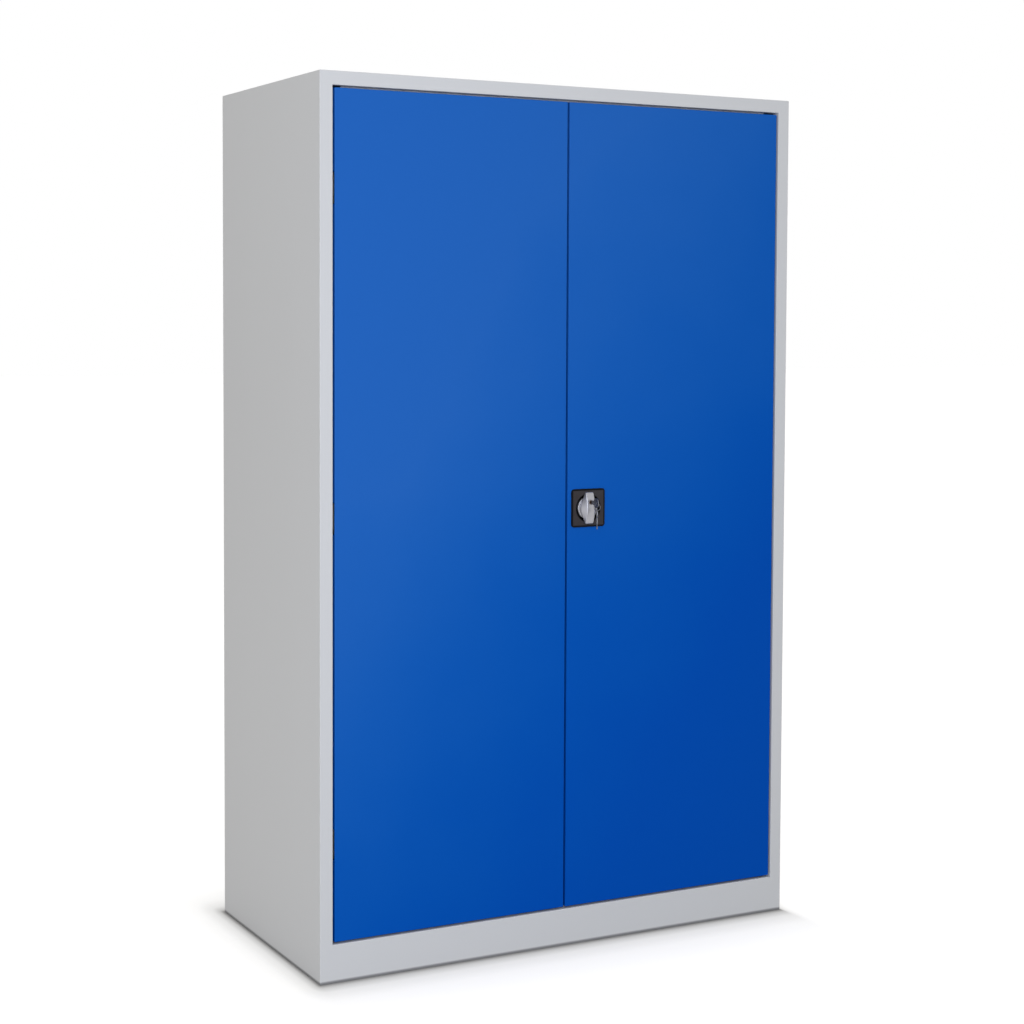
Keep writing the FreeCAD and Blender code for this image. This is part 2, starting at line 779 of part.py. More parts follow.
def lock_plate():
    """Square cast plate with a round recess for the handle and a cup behind it."""
    half_w = lock_plate_width / 2
    half_h = lock_plate_height / 2
    flange = lock_block(half_w, half_h, plate_front_y, door_face_y)
    corners = [edge for edge in flange.Edges if edge.BoundBox.YLength > lock_plate_thickness / 2]
    flange = flange.makeFillet(lock_plate_corner, corners)
    rim = [edge for edge in flange.Edges if edge.BoundBox.YMax < plate_front_y + lock_plate_thickness / 2]
    flange = flange.makeFillet(lock_plate_thickness / 3, rim)
    half_w = lock_cup_width / 2
    half_h = lock_cup_height / 2
    cup = lock_block(half_w, half_h, door_face_y, cup_rear_y)
    recess = lock_round(recess_radius, plate_front_y - overrun, recess_floor_y)
    hollow = lock_round(recess_radius, recess_floor_y + lock_cup_floor, cup_rear_y + overrun)
    boss = lock_round(hub_boss_radius, recess_floor_y, cup_rear_y + overrun)
    bore = lock_round(hub_radius + hub_clearance, recess_floor_y - overrun, cup_rear_y + overrun)
    plate = joined([flange, cup]).cut([recess, hollow.cut(boss), bore])
    notch_y0 = bolt_front() - bolt_side_clearance
    notch_y1 = bolt_front() + bolt_thickness + bolt_side_clearance
    half = bolt_half_width + 2 * bolt_side_clearance
    inner = recess_radius - bolt_notch_depth
    outer = recess_radius + bolt_notch_depth
    top_notch = block(lock_x - half, lock_x + half, notch_y0, notch_y1, lock_z + inner, lock_z + outer)
    side_notch = block(lock_x + inner, lock_x + outer, notch_y0, notch_y1, lock_z - half, lock_z + half)
    threads = screw_holes(cup_rear_y - lock_screw_grip, cup_rear_y + overrun)
    return plate.cut([top_notch, side_notch] + threads)


def gear_case():
    """Open box behind the plate that houses the pinion and the two racks."""
    half_w = case_width / 2
    half_h = case_height / 2
    outer = lock_block(half_w, half_h, cup_rear_y, case_rear_y)
    inner = block(lock_x - half_w + case_wall, lock_x + half_w - case_wall, cup_rear_y + case_wall,
                  case_rear_y + overrun, lock_z - half_h + case_wall, lock_z + half_h - case_wall)
    bosses = [round_y(case_boss_radius, x, z, cup_rear_y, case_rear_y) for x, z in screw_places()]
    case = joined([outer.cut(inner)] + bosses)
    hub = lock_round(hub_radius + hub_clearance, cup_rear_y - overrun, cup_rear_y + overrun)
    rod_hole = rod_radius + running_clearance
    top = round_z(rod_hole, lock_x - rod_offset, rod_y, lock_z, lock_z + case_height)
    bottom = round_z(rod_hole, lock_x + rod_offset, rod_y, lock_z - case_height, lock_z)
    return case.cut([hub, top, bottom] + screw_holes(cup_rear_y - overrun, case_rear_y + overrun))


def gear_case_cover():
    """Flat cover on the gear case, the rear bearing of the spindle."""
    half_w = case_width / 2
    half_h = case_height / 2
    cover = lock_block(half_w, half_h, case_rear_y, cover_rear_y)
    bore_radius = spindle_side / math.sqrt(2) + running_clearance
    bore = lock_round(bore_radius, case_rear_y - overrun, cover_rear_y + overrun)
    return cover.cut([bore] + screw_holes(case_rear_y - overrun, cover_rear_y + overrun))


def lock_screws():
    """Four screws through cover and case into the lock plate."""
    group = []
    for x, z in screw_places():
        shank = round_y(lock_screw_radius, x, z, cup_rear_y - lock_screw_grip, cover_rear_y)
        head = round_y(lock_screw_head_radius, x, z, cover_rear_y, cover_rear_y + lock_screw_head)
        group.append(joined([shank, head]))
    return group


def half_turn(shape, z):
    """The same shape turned half round the lock's front-to-back line at height z."""
    turned = shape.copy()
    turned.rotate(V(lock_x, 0, z), V(0, 1, 0), 180)
    return turned


def rod_guide():
    """Bracket on the upper return lip with an eye for the upper rod."""
    x = lock_x - rod_offset
    half = guide_width / 2
    low = door_high - door_lip - guide_drop
    plate = block(x - half, x + half, door_rear_y, door_rear_y + guide_thickness, low, door_high - seat_gap)
    tab_rear = rod_y + rod_radius + guide_behind_rod
    tab = block(x - half, x + half, door_rear_y, tab_rear, low, low + guide_tab)
    eye = round_z(rod_radius + running_clearance, x, rod_y, low - overrun, low + overrun)
    return joined([plate, tab]).cut([eye] + rivet_holes(guide_rivet_places()))


def lower_rod_guide():
    """Bracket on the lower return lip with an eye for the lower rod."""
    return half_turn(rod_guide(), hinge_middle)


def grip_section(share, base_share, ridge_share):
    """Cross-section of the grip: wide at the disc, with a narrow rounded ridge in front."""
    z = share * grip_length / 2
    base = base_share * grip_base_width / 2
    ridge = ridge_share * grip_ridge_width / 2
    front = door_face_y - grip_end_proud - (grip_middle_proud - grip_end_proud) * (1 - share ** 2)
    back = plate_front_y - handle_floor_gap
    heel = back - handle_floor_gap
    lean = math.hypot(base - ridge, heel - front)
    slope_x = ridge + grip_edge_radius * (base - ridge) / lean
    slope_y = front + grip_edge_radius * (heel - front) / lean
    near = ridge - grip_edge_radius
    bend_x = (near + slope_x + 2 * ridge) / 4
    bend_y = (3 * front + slope_y) / 4
    return Part.Wire([
        Part.makeLine(V(-base, back, z), V(-base, heel, z)),
        Part.makeLine(V(-base, heel, z), V(-slope_x, slope_y, z)),
        Part.Arc(V(-slope_x, slope_y, z), V(-bend_x, bend_y, z), V(-near, front, z)).toShape(),
        Part.makeLine(V(-near, front, z), V(near, front, z)),
        Part.Arc(V(near, front, z), V(bend_x, bend_y, z), V(slope_x, slope_y, z)).toShape(),
        Part.makeLine(V(slope_x, slope_y, z), V(base, heel, z)),
        Part.makeLine(V(base, heel, z), V(base, back, z)),
        Part.makeLine(V(base, back, z), V(-base, back, z)),
    ])


def grip():
    """Arched grip, widest in the middle, standing proud of the handle's disc."""
    sections = [grip_section(*shares) for shares in grip_section_shares]
    shape = Part.makeLoft(sections, True, False)
    shape.translate(V(lock_x, 0, lock_z))
    return shape


def grip_root():
    """Foot of the grip between its back and the disc."""
    right = [(lock_x + base_share * grip_base_width / 2 - seat_gap, lock_z + share * grip_length / 2)
             for share, base_share, _ in grip_section_shares]
    left = [(2 * lock_x - x, z) for x, z in reversed(right)]
    foot = prism_y(right + left, plate_front_y - handle_floor_gap, disc_front_y)
    return foot.common(lock_round(handle_disc_radius - grip_edge_radius, grip_front_y, disc_rear_y))


def turn_handle():
    """Handle in one casting: disc in the recess, arched grip and hub."""
    disc = lock_round(handle_disc_radius, disc_front_y, disc_rear_y)
    rim = [edge for edge in disc.Edges if edge.BoundBox.YMax < disc_front_y + seat_gap]
    disc = disc.makeFillet(grip_edge_radius, rim)
    hub = lock_round(hub_radius, disc_rear_y, hub_rear_y)
    body = joined([disc, grip_root(), grip(), hub])
    seat = key_round(cylinder_radius + running_clearance, grip_front_y - overrun, cylinder_rear_y)
    pocket_rear = cylinder_rear_y + bolt_pocket_depth
    half = bolt_plate_half_width + bolt_side_clearance
    pocket = block(lock_x - half, lock_x + half, cylinder_rear_y, pocket_rear,
                   key_z - bolt_plate_below - bolt_side_clearance,
                   key_z + bolt_plate_above + bolt_throw + bolt_side_clearance)
    slide = bolt_half_width + bolt_side_clearance
    channel = block(lock_x - slide, lock_x + slide, cylinder_rear_y, pocket_rear,
                    key_z, lock_z + handle_disc_radius + overrun)
    half = spindle_side / 2
    socket = lock_block(half, half, disc_rear_y, hub_rear_y + overrun)
    return body.cut([seat, pocket, channel, socket])


def handle_spindle():
    """Square bar from the handle's hub to the latch tongue."""
    half = spindle_side / 2
    bar = lock_block(half, half, disc_rear_y, tongue_rear_y)
    hole_start = tongue_rear_y - spindle_screw_length - seat_gap
    return bar.cut(lock_round(spindle_screw_radius + running_clearance, hole_start, tongue_rear_y + overrun))


def spindle_screw():
    """Screw that holds the tongue on the spindle."""
    shank = lock_round(spindle_screw_radius, tongue_rear_y - spindle_screw_length, tongue_rear_y)
    head = lock_round(spindle_screw_head_radius, tongue_rear_y, tongue_rear_y + spindle_screw_head)
    return joined([shank, head])


def latch_tongue():
    """Flat tongue, hanging down at rest, that turns behind the strike."""
    half = tongue_width / 2
    tip_z = lock_z - tongue_reach + half
    hub = lock_round(tongue_hub_radius, tongue_front_y, tongue_rear_y)
    arm = block(lock_x - half, lock_x + half, tongue_front_y, tongue_rear_y, tip_z, lock_z)
    tip = round_y(half, lock_x, tip_z, tongue_front_y, tongue_rear_y)
    side = spindle_side / 2
    square = lock_block(side, side, tongue_front_y - overrun, tongue_rear_y + overrun)
    return joined([hub, arm, tip]).cut(square)


def lock_cylinder():
    """Cylinder body pressed into the upper half of the grip."""
    body = key_round(cylinder_radius, cylinder_front_y, cylinder_rear_y)
    bore = key_round(plug_radius + running_clearance, cylinder_front_y - overrun, cylinder_rear_y + overrun)
    return body.cut(bore)


def lock_plug():
    """Plug with the key's slot in front and the eccentric pin behind."""
    front = cylinder_front_y - plug_proud
    plug = key_round(plug_radius, front, cylinder_rear_y)
    half_x = key_thickness / 2 + key_slot_clearance
    half_z = key_blade_width / 2 + key_slot_clearance
    slot = block(lock_x - half_x, lock_x + half_x, front - overrun, front + key_insert + seat_gap,
                 key_z - half_z, key_z + half_z)
    lean = math.radians(handle_turn / 2)
    pin_x = lock_x - locking_pin_offset * math.cos(lean)
    pin_z = key_z - locking_pin_offset * math.sin(lean)
    pin_end = cylinder_rear_y + bolt_pocket_depth - seat_gap
    pin = round_y(locking_pin_radius, pin_x, pin_z, cylinder_rear_y, pin_end)
    return joined([plug.cut(slot), pin])


def locking_bolt():
    """Small bolt in the handle's disc; the plug's pin throws it up into the plate."""
    front = bolt_front()
    back = front + bolt_thickness
    plate = block(lock_x - bolt_plate_half_width, lock_x + bolt_plate_half_width, front, back,
                  key_z - bolt_plate_below, key_z + bolt_plate_above)
    arm = block(lock_x - bolt_half_width, lock_x + bolt_half_width, front, back,
                key_z, lock_z + recess_radius - bolt_tip_gap)
    lean = math.radians(handle_turn / 2)
    room = locking_pin_radius + locking_pin_slack
    pin_z = key_z - locking_pin_offset * math.sin(lean)
    window = block(lock_x - locking_pin_offset - room, lock_x - locking_pin_offset * math.cos(lean) + room,
                   front - overrun, back + overrun, pin_z - room, pin_z + room)
    return joined([plate, arm]).cut(window)


def involute_half_angle(radius):
    """Half the angle that one pinion tooth fills at a radius."""
    pressure = math.radians(pressure_angle)
    base = pitch_radius * math.cos(pressure)
    at_pitch = (math.pi * gear_module / 2 - gear_backlash / 2) / (2 * pitch_radius)
    local = math.acos(min(1.0, base / radius))
    return at_pitch + (math.tan(pressure) - pressure) - (math.tan(local) - local)


def drive_pinion():
    """Pinion on the spindle; tooth gaps face both racks at rest."""
    outer = pitch_radius + gear_module
    root = pitch_radius - gear_module * dedendum_share
    base = pitch_radius * math.cos(math.radians(pressure_angle))
    points = []
    for tooth in range(pinion_teeth):
        middle = 2 * math.pi * (tooth + 1 / 2) / pinion_teeth
        radii = [base + (outer - base) * step / flank_steps for step in range(flank_steps + 1)]
        flank = [(root, -involute_half_angle(base))]
        flank += [(radius, -involute_half_angle(radius)) for radius in radii]
        flank += [(radius, -turn) for radius, turn in reversed(flank)]
        points += [(lock_x + radius * math.cos(middle + turn), lock_z + radius * math.sin(middle + turn))
                   for radius, turn in flank]
    half = rod_radius + pinion_side_play
    side = spindle_side / 2
    gear = prism_y(points, rod_y - half, rod_y + half)
    square = lock_block(side, side, rod_y - half - overrun, rod_y + half + overrun)
    return gear.cut(square)


def lock_rod(reach):
    """Upper rod with its rack on the pinion's left; reach is axis to tip."""
    pitch = math.pi * gear_module
    slope = math.tan(math.radians(pressure_angle))
    thick = pitch / 2 - gear_backlash / 2
    tip_half = thick / 2 - gear_module * slope
    root_half = thick / 2 + gear_module * dedendum_share * slope
    low = -rod_travel - rack_margin
    first = int(low / pitch) + 1
    last = int(rack_margin / pitch)
    tip = -(pitch_radius - gear_module)
    points = [(-rack_outer, low), (-rack_root, low)]
    for tooth in range(first, last):
        z = tooth * pitch
        points += [(-rack_root, z - root_half), (tip, z - tip_half)]
        points += [(tip, z + tip_half), (-rack_root, z + root_half)]
    points += [(-rack_root, rack_margin), (-rack_outer, rack_margin)]
    outline = [(lock_x + x, lock_z + z) for x, z in points]
    rack = prism_y(outline, rod_y - rod_radius, rod_y + rod_radius)
    x = lock_x - rod_offset
    bar = round_z(rod_radius, x, rod_y, lock_z + rack_margin, lock_z + reach - rod_tip_chamfer)
    nose = Part.makeCone(rod_radius, rod_radius - rod_tip_chamfer, rod_tip_chamfer,
                         V(x, rod_y, lock_z + reach - rod_tip_chamfer))
    return joined([rack, bar, nose])


def key_blank():
    """Key with the middle of its hole at the origin and its blade along +Y."""
    half_t = key_thickness / 2
    half_b = key_blade_width / 2
    bow = Part.makeCylinder(key_bow_radius, key_thickness, V(-half_t, key_hole_offset, 0), V(1, 0, 0))
    rim = [edge for edge in bow.Edges if edge.BoundBox.XLength < half_t]
    bow = bow.makeFillet(half_t / 2, rim)
    start = key_hole_offset
    end = start + key_bow_radius + key_neck + key_insert
    blade = block(-half_t, half_t, start, end, -half_b, half_b)
    nose = [edge for edge in blade.Edges
            if edge.BoundBox.XLength > half_t and edge.BoundBox.YMin > end - half_t]
    blade = blade.makeChamfer(key_cut_depth, nose)
    drill = key_thickness + overrun
    hole = Part.makeCylinder(key_hole_radius, drill, V(-drill / 2, 0, 0), V(1, 0, 0))
    cuts = []
    for place, share in enumerate(key_cut_shares):
        deep = key_cut_depth * share
        middle = end - key_insert + key_cut_pitch * (place + 1 / 2)
        corners = [V(-half_t, middle - deep, -half_b), V(-half_t, middle, deep - half_b),
                   V(-half_t, middle + deep, -half_b)]
        wedge = Part.Face(Part.makePolygon(corners + corners[:1]))
        cuts.append(wedge.extrude(V(key_thickness, 0, 0)))
    return joined([bow, blade]).cut([hole] + cuts)


def key_hole_y():
    """Where the inserted key's hole stands in front of the door."""
    return cylinder_front_y - plug_proud - key_neck - key_bow_radius - key_hole_offset


def key():
    """Key in the plug, its bow upright."""
    shape = key_blank()
    shape.translate(V(lock_x, key_hole_y(), key_z))
    return shape


def key_ring():
    """Wire ring hanging in the key's hole."""
    centre = V(lock_x, key_hole_y(), key_z - hang_drop - ring_radius)
    return Part.makeTorus(ring_radius, ring_wire_radius, centre, V(0, 1, 0))


def spare_key():
    """Second key hanging from the bottom of the ring, blade down."""
    shape = key_blank()
    shape.rotate(V(0, 0, 0), V(1, 0, 0), -90)
    shape.rotate(V(0, 0, 0), V(0, 0, 1), -spare_key_twist)
    shape.translate(V(lock_x, key_hole_y(), key_z - 2 * hang_drop - 2 * ring_radius))
    return shape


def save_carcass():
    """Everything that stays put when the doors open."""
    save("left_side_panel", mirrored(side_panel()))
    save("right_side_panel", side_panel())
    save("top_panel", top_panel())
    save("header_rail", header_rail())
    save("base_plinth", base_plinth())
    save("floor_panel", floor_panel())
    save("floor_rail", floor_rail())
    save("rear_base_rail", rear_base_rail())
    save("base_corner_plates", base_corner_plates())
    save("back_panel_left", mirrored(back_panel()))
    save("back_panel_right", back_panel())
    save("back_centre_rail", back_centre_rail())
    for place, y in (("front", upright_front_y), ("rear", upright_rear_y)):
        save("upright_" + place + "_left", mirrored(upright(y)))
        save("upright_" + place + "_right", upright(y))
    for number, index in enumerate(shelf_slots, 1):
        save("shelf_" + str(number), shelf(index))
        save("shelf_" + str(number) + "_clips", shelf_clips(index))
    leaves = [frame_hinge_leaf(z) for z in hinge_heights]
    pins = [hinge_pin(z) for z in hinge_heights]
    save("right_frame_hinge_leaves", leaves)
    save("left_frame_hinge_leaves", [mirrored(leaf) for leaf in leaves])
    save("right_hinge_pins", pins)
    save("left_hinge_pins", [mirrored(pin) for pin in pins])
    save("door_buffers", door_buffers())


def save_doors():
    """The two doors and what is fixed to them."""
    leaves = [door_hinge_leaf(z) for z in hinge_heights]
    save("left_door_panel", left_door_panel())
    save("left_door_stiffener", mirrored(door_stiffener()))
    save("left_door_hinge_leaves", [mirrored(leaf) for leaf in leaves])
    save("left_door_strike", left_door_strike())
    save("strike_rivets", rivets(strike_rivet_places(), strike_thickness))
    save("right_door_panel", right_door_panel())
    save("right_door_stiffener", door_stiffener())
    save("right_door_hinge_leaves", leaves)
    save("lock_plate", lock_plate())
    save("gear_case", gear_case())
    save("gear_case_cover", gear_case_cover())
    save("lock_screws", lock_screws())
    save("upper_rod_guide", rod_guide())
    save("lower_rod_guide", lower_rod_guide())
    save("rod_guide_rivets", rivets(guide_rivet_places(), guide_thickness))


def save_lock():
    """Handle, pinion, rods, tongue, key bolt and keys."""
    save("turn_handle", turn_handle())
    save("lock_cylinder", lock_cylinder())
    save("handle_spindle", handle_spindle())
    save("drive_pinion", drive_pinion())
    save("latch_tongue", latch_tongue())
    save("spindle_screw", spindle_screw())
    save("upper_lock_rod", lock_rod(stop_lip_low - rod_tip_gap - lock_z))
    save("lower_lock_rod", half_turn(lock_rod(lock_z - stop_lip_high - rod_tip_gap), lock_z))
    save("locking_bolt", locking_bolt())
    save("lock_plug", lock_plug())
    save("key", key())
    save("key_ring", key_ring())
    save("spare_key", spare_key())


def main():
    os.makedirs("parts", exist_ok=True)
    save_carcass()
    save_doors()
    save_lock()


main()
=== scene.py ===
"""Looks of a tall two-door tool cabinet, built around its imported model."""
import json
import math

import bmesh
import bpy
from bpy.props import FloatProperty, FloatVectorProperty, IntProperty, PointerProperty
from bpy.types import Operator, Panel, PropertyGroup
from mathutils import Matrix, Vector


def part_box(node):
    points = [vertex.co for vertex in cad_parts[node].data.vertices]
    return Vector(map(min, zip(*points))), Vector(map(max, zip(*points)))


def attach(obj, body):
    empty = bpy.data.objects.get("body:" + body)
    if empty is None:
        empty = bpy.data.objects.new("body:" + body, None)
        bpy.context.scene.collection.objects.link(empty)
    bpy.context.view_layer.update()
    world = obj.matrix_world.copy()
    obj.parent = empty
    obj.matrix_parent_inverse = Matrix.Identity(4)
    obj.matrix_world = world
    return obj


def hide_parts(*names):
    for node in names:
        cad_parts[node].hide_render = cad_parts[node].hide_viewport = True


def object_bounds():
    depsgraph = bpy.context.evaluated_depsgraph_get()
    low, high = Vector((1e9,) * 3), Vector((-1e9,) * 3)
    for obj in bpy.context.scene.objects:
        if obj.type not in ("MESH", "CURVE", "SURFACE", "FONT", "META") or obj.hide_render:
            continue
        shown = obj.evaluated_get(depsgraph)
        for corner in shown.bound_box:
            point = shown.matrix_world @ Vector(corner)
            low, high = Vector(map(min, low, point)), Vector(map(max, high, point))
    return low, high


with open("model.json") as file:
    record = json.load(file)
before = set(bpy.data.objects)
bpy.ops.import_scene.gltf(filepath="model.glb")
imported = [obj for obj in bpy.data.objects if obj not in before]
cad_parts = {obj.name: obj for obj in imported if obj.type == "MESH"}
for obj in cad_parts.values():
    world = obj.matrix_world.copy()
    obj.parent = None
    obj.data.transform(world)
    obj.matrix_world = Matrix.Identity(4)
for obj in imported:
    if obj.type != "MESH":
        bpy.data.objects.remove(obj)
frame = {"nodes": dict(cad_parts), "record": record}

bl_info = {
    "name": "Tool cabinet",
    "version": (1, 0, 0),
    "blender": (4, 5, 0),
    "location": "View3D > Sidebar > Cabinet",
    "description": "Finishes and small parts of a steel cabinet with two doors",
    "category": "Object",
}

cad_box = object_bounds()
nodes = frame["nodes"]
slot_of = {part["node"]: part["material_slot"] for part in frame["record"]["subparts"]}
body_of = {node: body for body, members in frame["record"]["behaviour"]["bodies"].items() for node in members}
mm = 0.001
full_turn = 2 * math.pi
weld = 0.004 * mm
overrun = 1 * mm
bolt_play = 0.2 * mm
fine_relief = 0.01 * mm


def middle_of(node):
    """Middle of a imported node's box."""
    low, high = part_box(node)
    return (low + high) / 2


class PaintSettings(PropertyGroup):
    """Powder coats of carcass and doors."""

    body_colour: FloatVectorProperty(
        name="Body colour", description="Light grey of the carcass", subtype="COLOR", size=4,
        min=0, max=1, default=(0.615, 0.617, 0.622, 1))
    # Body shade: darker grey that the carcass turns to towards its bottom, painted shade, and in random
    # cloudy patches.
    body_painted_shade: FloatVectorProperty(
        name="Body shade", description="Where the grey coat lies thinner", subtype="COLOR", size=4,
        min=0, max=1, default=(0.590, 0.592, 0.598, 1))
    door_colour: FloatVectorProperty(
        name="Door colour", description="Blue of the doors", subtype="COLOR", size=4,
        min=0, max=1, default=(0.000, 0.070, 0.418, 1))
    # Door light: lighter, redder blue towards the doors' upper left, painted light and a painted sheen, and
    # in random cloudy patches.
    door_painted_light: FloatVectorProperty(
        name="Door light", description="Where the blue coat looks cloudy", subtype="COLOR", size=4,
        min=0, max=1, default=(0.019, 0.124, 0.468, 1))
    # Foot line: a dark band along the lowest edge, a painted shadow of the gap under the plinth.
    foot_shadow_colour: FloatVectorProperty(
        name="Foot line", description="Dark line along the lowest edge", subtype="COLOR", size=4,
        min=0, max=1, default=(0.09, 0.09, 0.095, 1))
    foot_shadow_height: FloatProperty(
        name="Foot line height", description="How far the dark line reaches up", subtype="DISTANCE",
        unit="LENGTH", min=0.003, default=0.0065)
    roughness: FloatProperty(
        name="Roughness", description="Roughness of both coats", subtype="FACTOR",
        min=0, max=1, default=0.42)
    grain: FloatProperty(
        name="Grain", description="Height of the orange-peel skin", subtype="DISTANCE",
        unit="LENGTH", min=0, default=0.00003)


class MetalSettings(PropertyGroup):
    """Bare and plated metals."""

    zinc: FloatVectorProperty(
        name="Zinc", description="Zinc-plated sheet", subtype="COLOR", size=4,
        min=0, max=1, default=(0.56, 0.57, 0.58, 1))
    steel: FloatVectorProperty(
        name="Steel", description="Drawn bar and screws", subtype="COLOR", size=4,
        min=0, max=1, default=(0.60, 0.60, 0.60, 1))
    cast: FloatVectorProperty(
        name="Handle metal", description="Satin die casting", subtype="COLOR", size=4,
        min=0, max=1, default=(0.42, 0.415, 0.44, 1))
    key: FloatVectorProperty(
        name="Key metal", description="Dull nickel of the keys and their ring", subtype="COLOR", size=4,
        min=0, max=1, default=(0.19, 0.19, 0.205, 1))
    brass: FloatVectorProperty(
        name="Brass", description="Lock plug", subtype="COLOR", size=4,
        min=0, max=1, default=(0.20, 0.125, 0.085, 1))


class MouldedSettings(PropertyGroup):
    """Black lock plate and rubber stops."""

    plate: FloatVectorProperty(
        name="Plate", description="Grained black of the lock plate", subtype="COLOR", size=4,
        min=0, max=1, default=(0.036, 0.032, 0.034, 1))
    # Border and recess black: a smoother finish, and darker as painted shade of the gap round the plate and
    # of the recess.
    border: FloatVectorProperty(
        name="Plate border", description="Smooth black of the plate's border and recess", subtype="COLOR",
        size=4, min=0, max=1, default=(0.003, 0.003, 0.004, 1))
    rubber: FloatVectorProperty(
        name="Rubber", description="Black of the door stops", subtype="COLOR", size=4,
        min=0, max=1, default=(0.022, 0.022, 0.022, 1))
    edge_radius: FloatProperty(
        name="Edge radius", description="Rounding of the plate's rim", subtype="DISTANCE",
        unit="LENGTH", min=0.0002, default=0.0011)


class HandleSettings(PropertyGroup):
    """Turn handle with its disc and grip."""

    ridge_width: FloatProperty(
        name="Ridge width", description="Flat front of the grip, across", subtype="DISTANCE",
        unit="LENGTH", min=0.004, default=0.018)
    edge_radius: FloatProperty(
        name="Edge radius", description="Rounding of the grip's long edges", subtype="DISTANCE",
        unit="LENGTH", min=0.0002, default=0.0016)


class KeySettings(PropertyGroup):
    """Two like keys on a split ring."""

    bow_radius: FloatProperty(
        name="Bow radius", description="Round head of a key", subtype="DISTANCE",
        unit="LENGTH", min=0.006, default=0.011)
    hole_radius: FloatProperty(
        name="Hole radius", description="Hole for the ring", subtype="DISTANCE",
        unit="LENGTH", min=0.001, default=0.0025)
    blade_width: FloatProperty(
        name="Blade width", description="Height of the blade", subtype="DISTANCE",
        unit="LENGTH", min=0.003, default=0.007)
    thickness: FloatProperty(
        name="Thickness", description="Thickness of the blank", subtype="DISTANCE",
        unit="LENGTH", min=0.001, default=0.002)
    ring_turns: IntProperty(
        name="Ring turns", description="Turns of the split ring", min=1, default=2)


class StageSettings(PropertyGroup):
    """Camera, lamps and floor."""

    sky: FloatProperty(
        name="Sky", description="Light that comes from all round", min=0, default=0.68)
    key_power: FloatProperty(
        name="Key lamp", description="Large soft lamp above and in front", subtype="POWER",
        unit="POWER", min=0, default=88)
    side_power: FloatProperty(
        name="Side lamp", description="Weak soft lamp to the left", subtype="POWER",
        unit="POWER", min=0, default=9)
    floor_glow: FloatProperty(
        name="Floor glow", description="How much the camera sees the floor lifted to white",
        subtype="FACTOR", min=0, max=1, default=0.80)
    # Contact glow: low glow here darkens the floor round the cabinet's foot, a painted shadow over the real
    # one.
    contact_glow: FloatProperty(
        name="Contact glow", description="The same close to the cabinet, where its shadow is kept",
        subtype="FACTOR", min=0, max=1, default=0.0)


class Wire:
    """A node's output that shader maths is written with."""

    def __init__(self, shader, end):
        self.shader = shader
        self.end = end

    def __add__(self, other):
        return self.shader.maths("ADD", self, other)

    def __radd__(self, other):
        return self.shader.maths("ADD", other, self)

    def __sub__(self, other):
        return self.shader.maths("SUBTRACT", self, other)

    def __rsub__(self, other):
        return self.shader.maths("SUBTRACT", other, self)

    def __mul__(self, other):
        return self.shader.maths("MULTIPLY", self, other)

    def __rmul__(self, other):
        return self.shader.maths("MULTIPLY", other, self)


class Shader:
    """A node tree that is filled node by node."""

    def __init__(self, owner):
        owner.use_nodes = True
        self.nodes = owner.node_tree.nodes
        self.links = owner.node_tree.links
        self.nodes.clear()

    def node(self, kind, settings, inputs, output=0):
        """Adds a node: settings first, then the values or wires of its sockets."""
        made = self.nodes.new("ShaderNode" + kind)
        for name, value in settings.items():
            if name == "stops":
                self.set_stops(made.color_ramp.elements, value)
            else:
                setattr(made, name, value)
        for place, value in inputs.items():
            if isinstance(value, Wire):
                self.links.new(value.end, made.inputs[place])
            else:
                made.inputs[place].default_value = value
        return Wire(self, made.outputs[output]) if made.outputs else None

    def set_stops(self, elements, stops):
        """Gives a ramp its stops, each a place and a grey value."""
        while len(elements) < len(stops):
            elements.new(1)
        for element, (place, value) in zip(elements, stops):
            element.position = place
            element.color = (value, value, value, 1)

    def maths(self, operation, first, second=0):
        """A Math node; the second value counts only where the operation has two."""
        return self.node("Math", {"operation": operation}, {0: first, 1: second})

    def place(self, stretch=(1, 1, 1)):
        """Where a point is on the object, in metres, stretched for streaks."""
        place = self.node("TexCoord", {}, {}, "Object")
        return self.node("VectorMath", {"operation": "MULTIPLY"}, {0: place, 1: stretch})

    def noise(self, scale, detail=2.0, stretch=(1, 1, 1)):
        """Soft noise from 0 to 1; the scale is the number of its patches in a metre."""
        return self.node("TexNoise", {}, {"Vector": self.place(stretch), "Scale": scale, "Detail": detail})

    def ramp(self, value, *stops):
        """Grey between stops, each a place and a grey value."""
        return self.node("ValToRGB", {"stops": stops}, {0: value})

    def mixed(self, share, first, second):
        """Colour between two colours."""
        return self.node("Mix", {"data_type": "RGBA"}, {0: share, 6: first, 7: second}, 2)

    def bump(self, height, distance, under=None):
        """Relief; under is the relief that it lies on."""
        inputs = {"Height": height, "Distance": distance}
        if under:
            inputs["Normal"] = under
        return self.node("Bump", {}, inputs)

    def surface(self, inputs):
        """The surface shader and the output."""
        shader = self.node("BsdfPrincipled", {}, inputs)
        self.node("OutputMaterial", {}, {"Surface": shader})


def new_shader(name):
    """A new material and its node tree."""
    material = bpy.data.materials.new(name)
    return material, Shader(material)


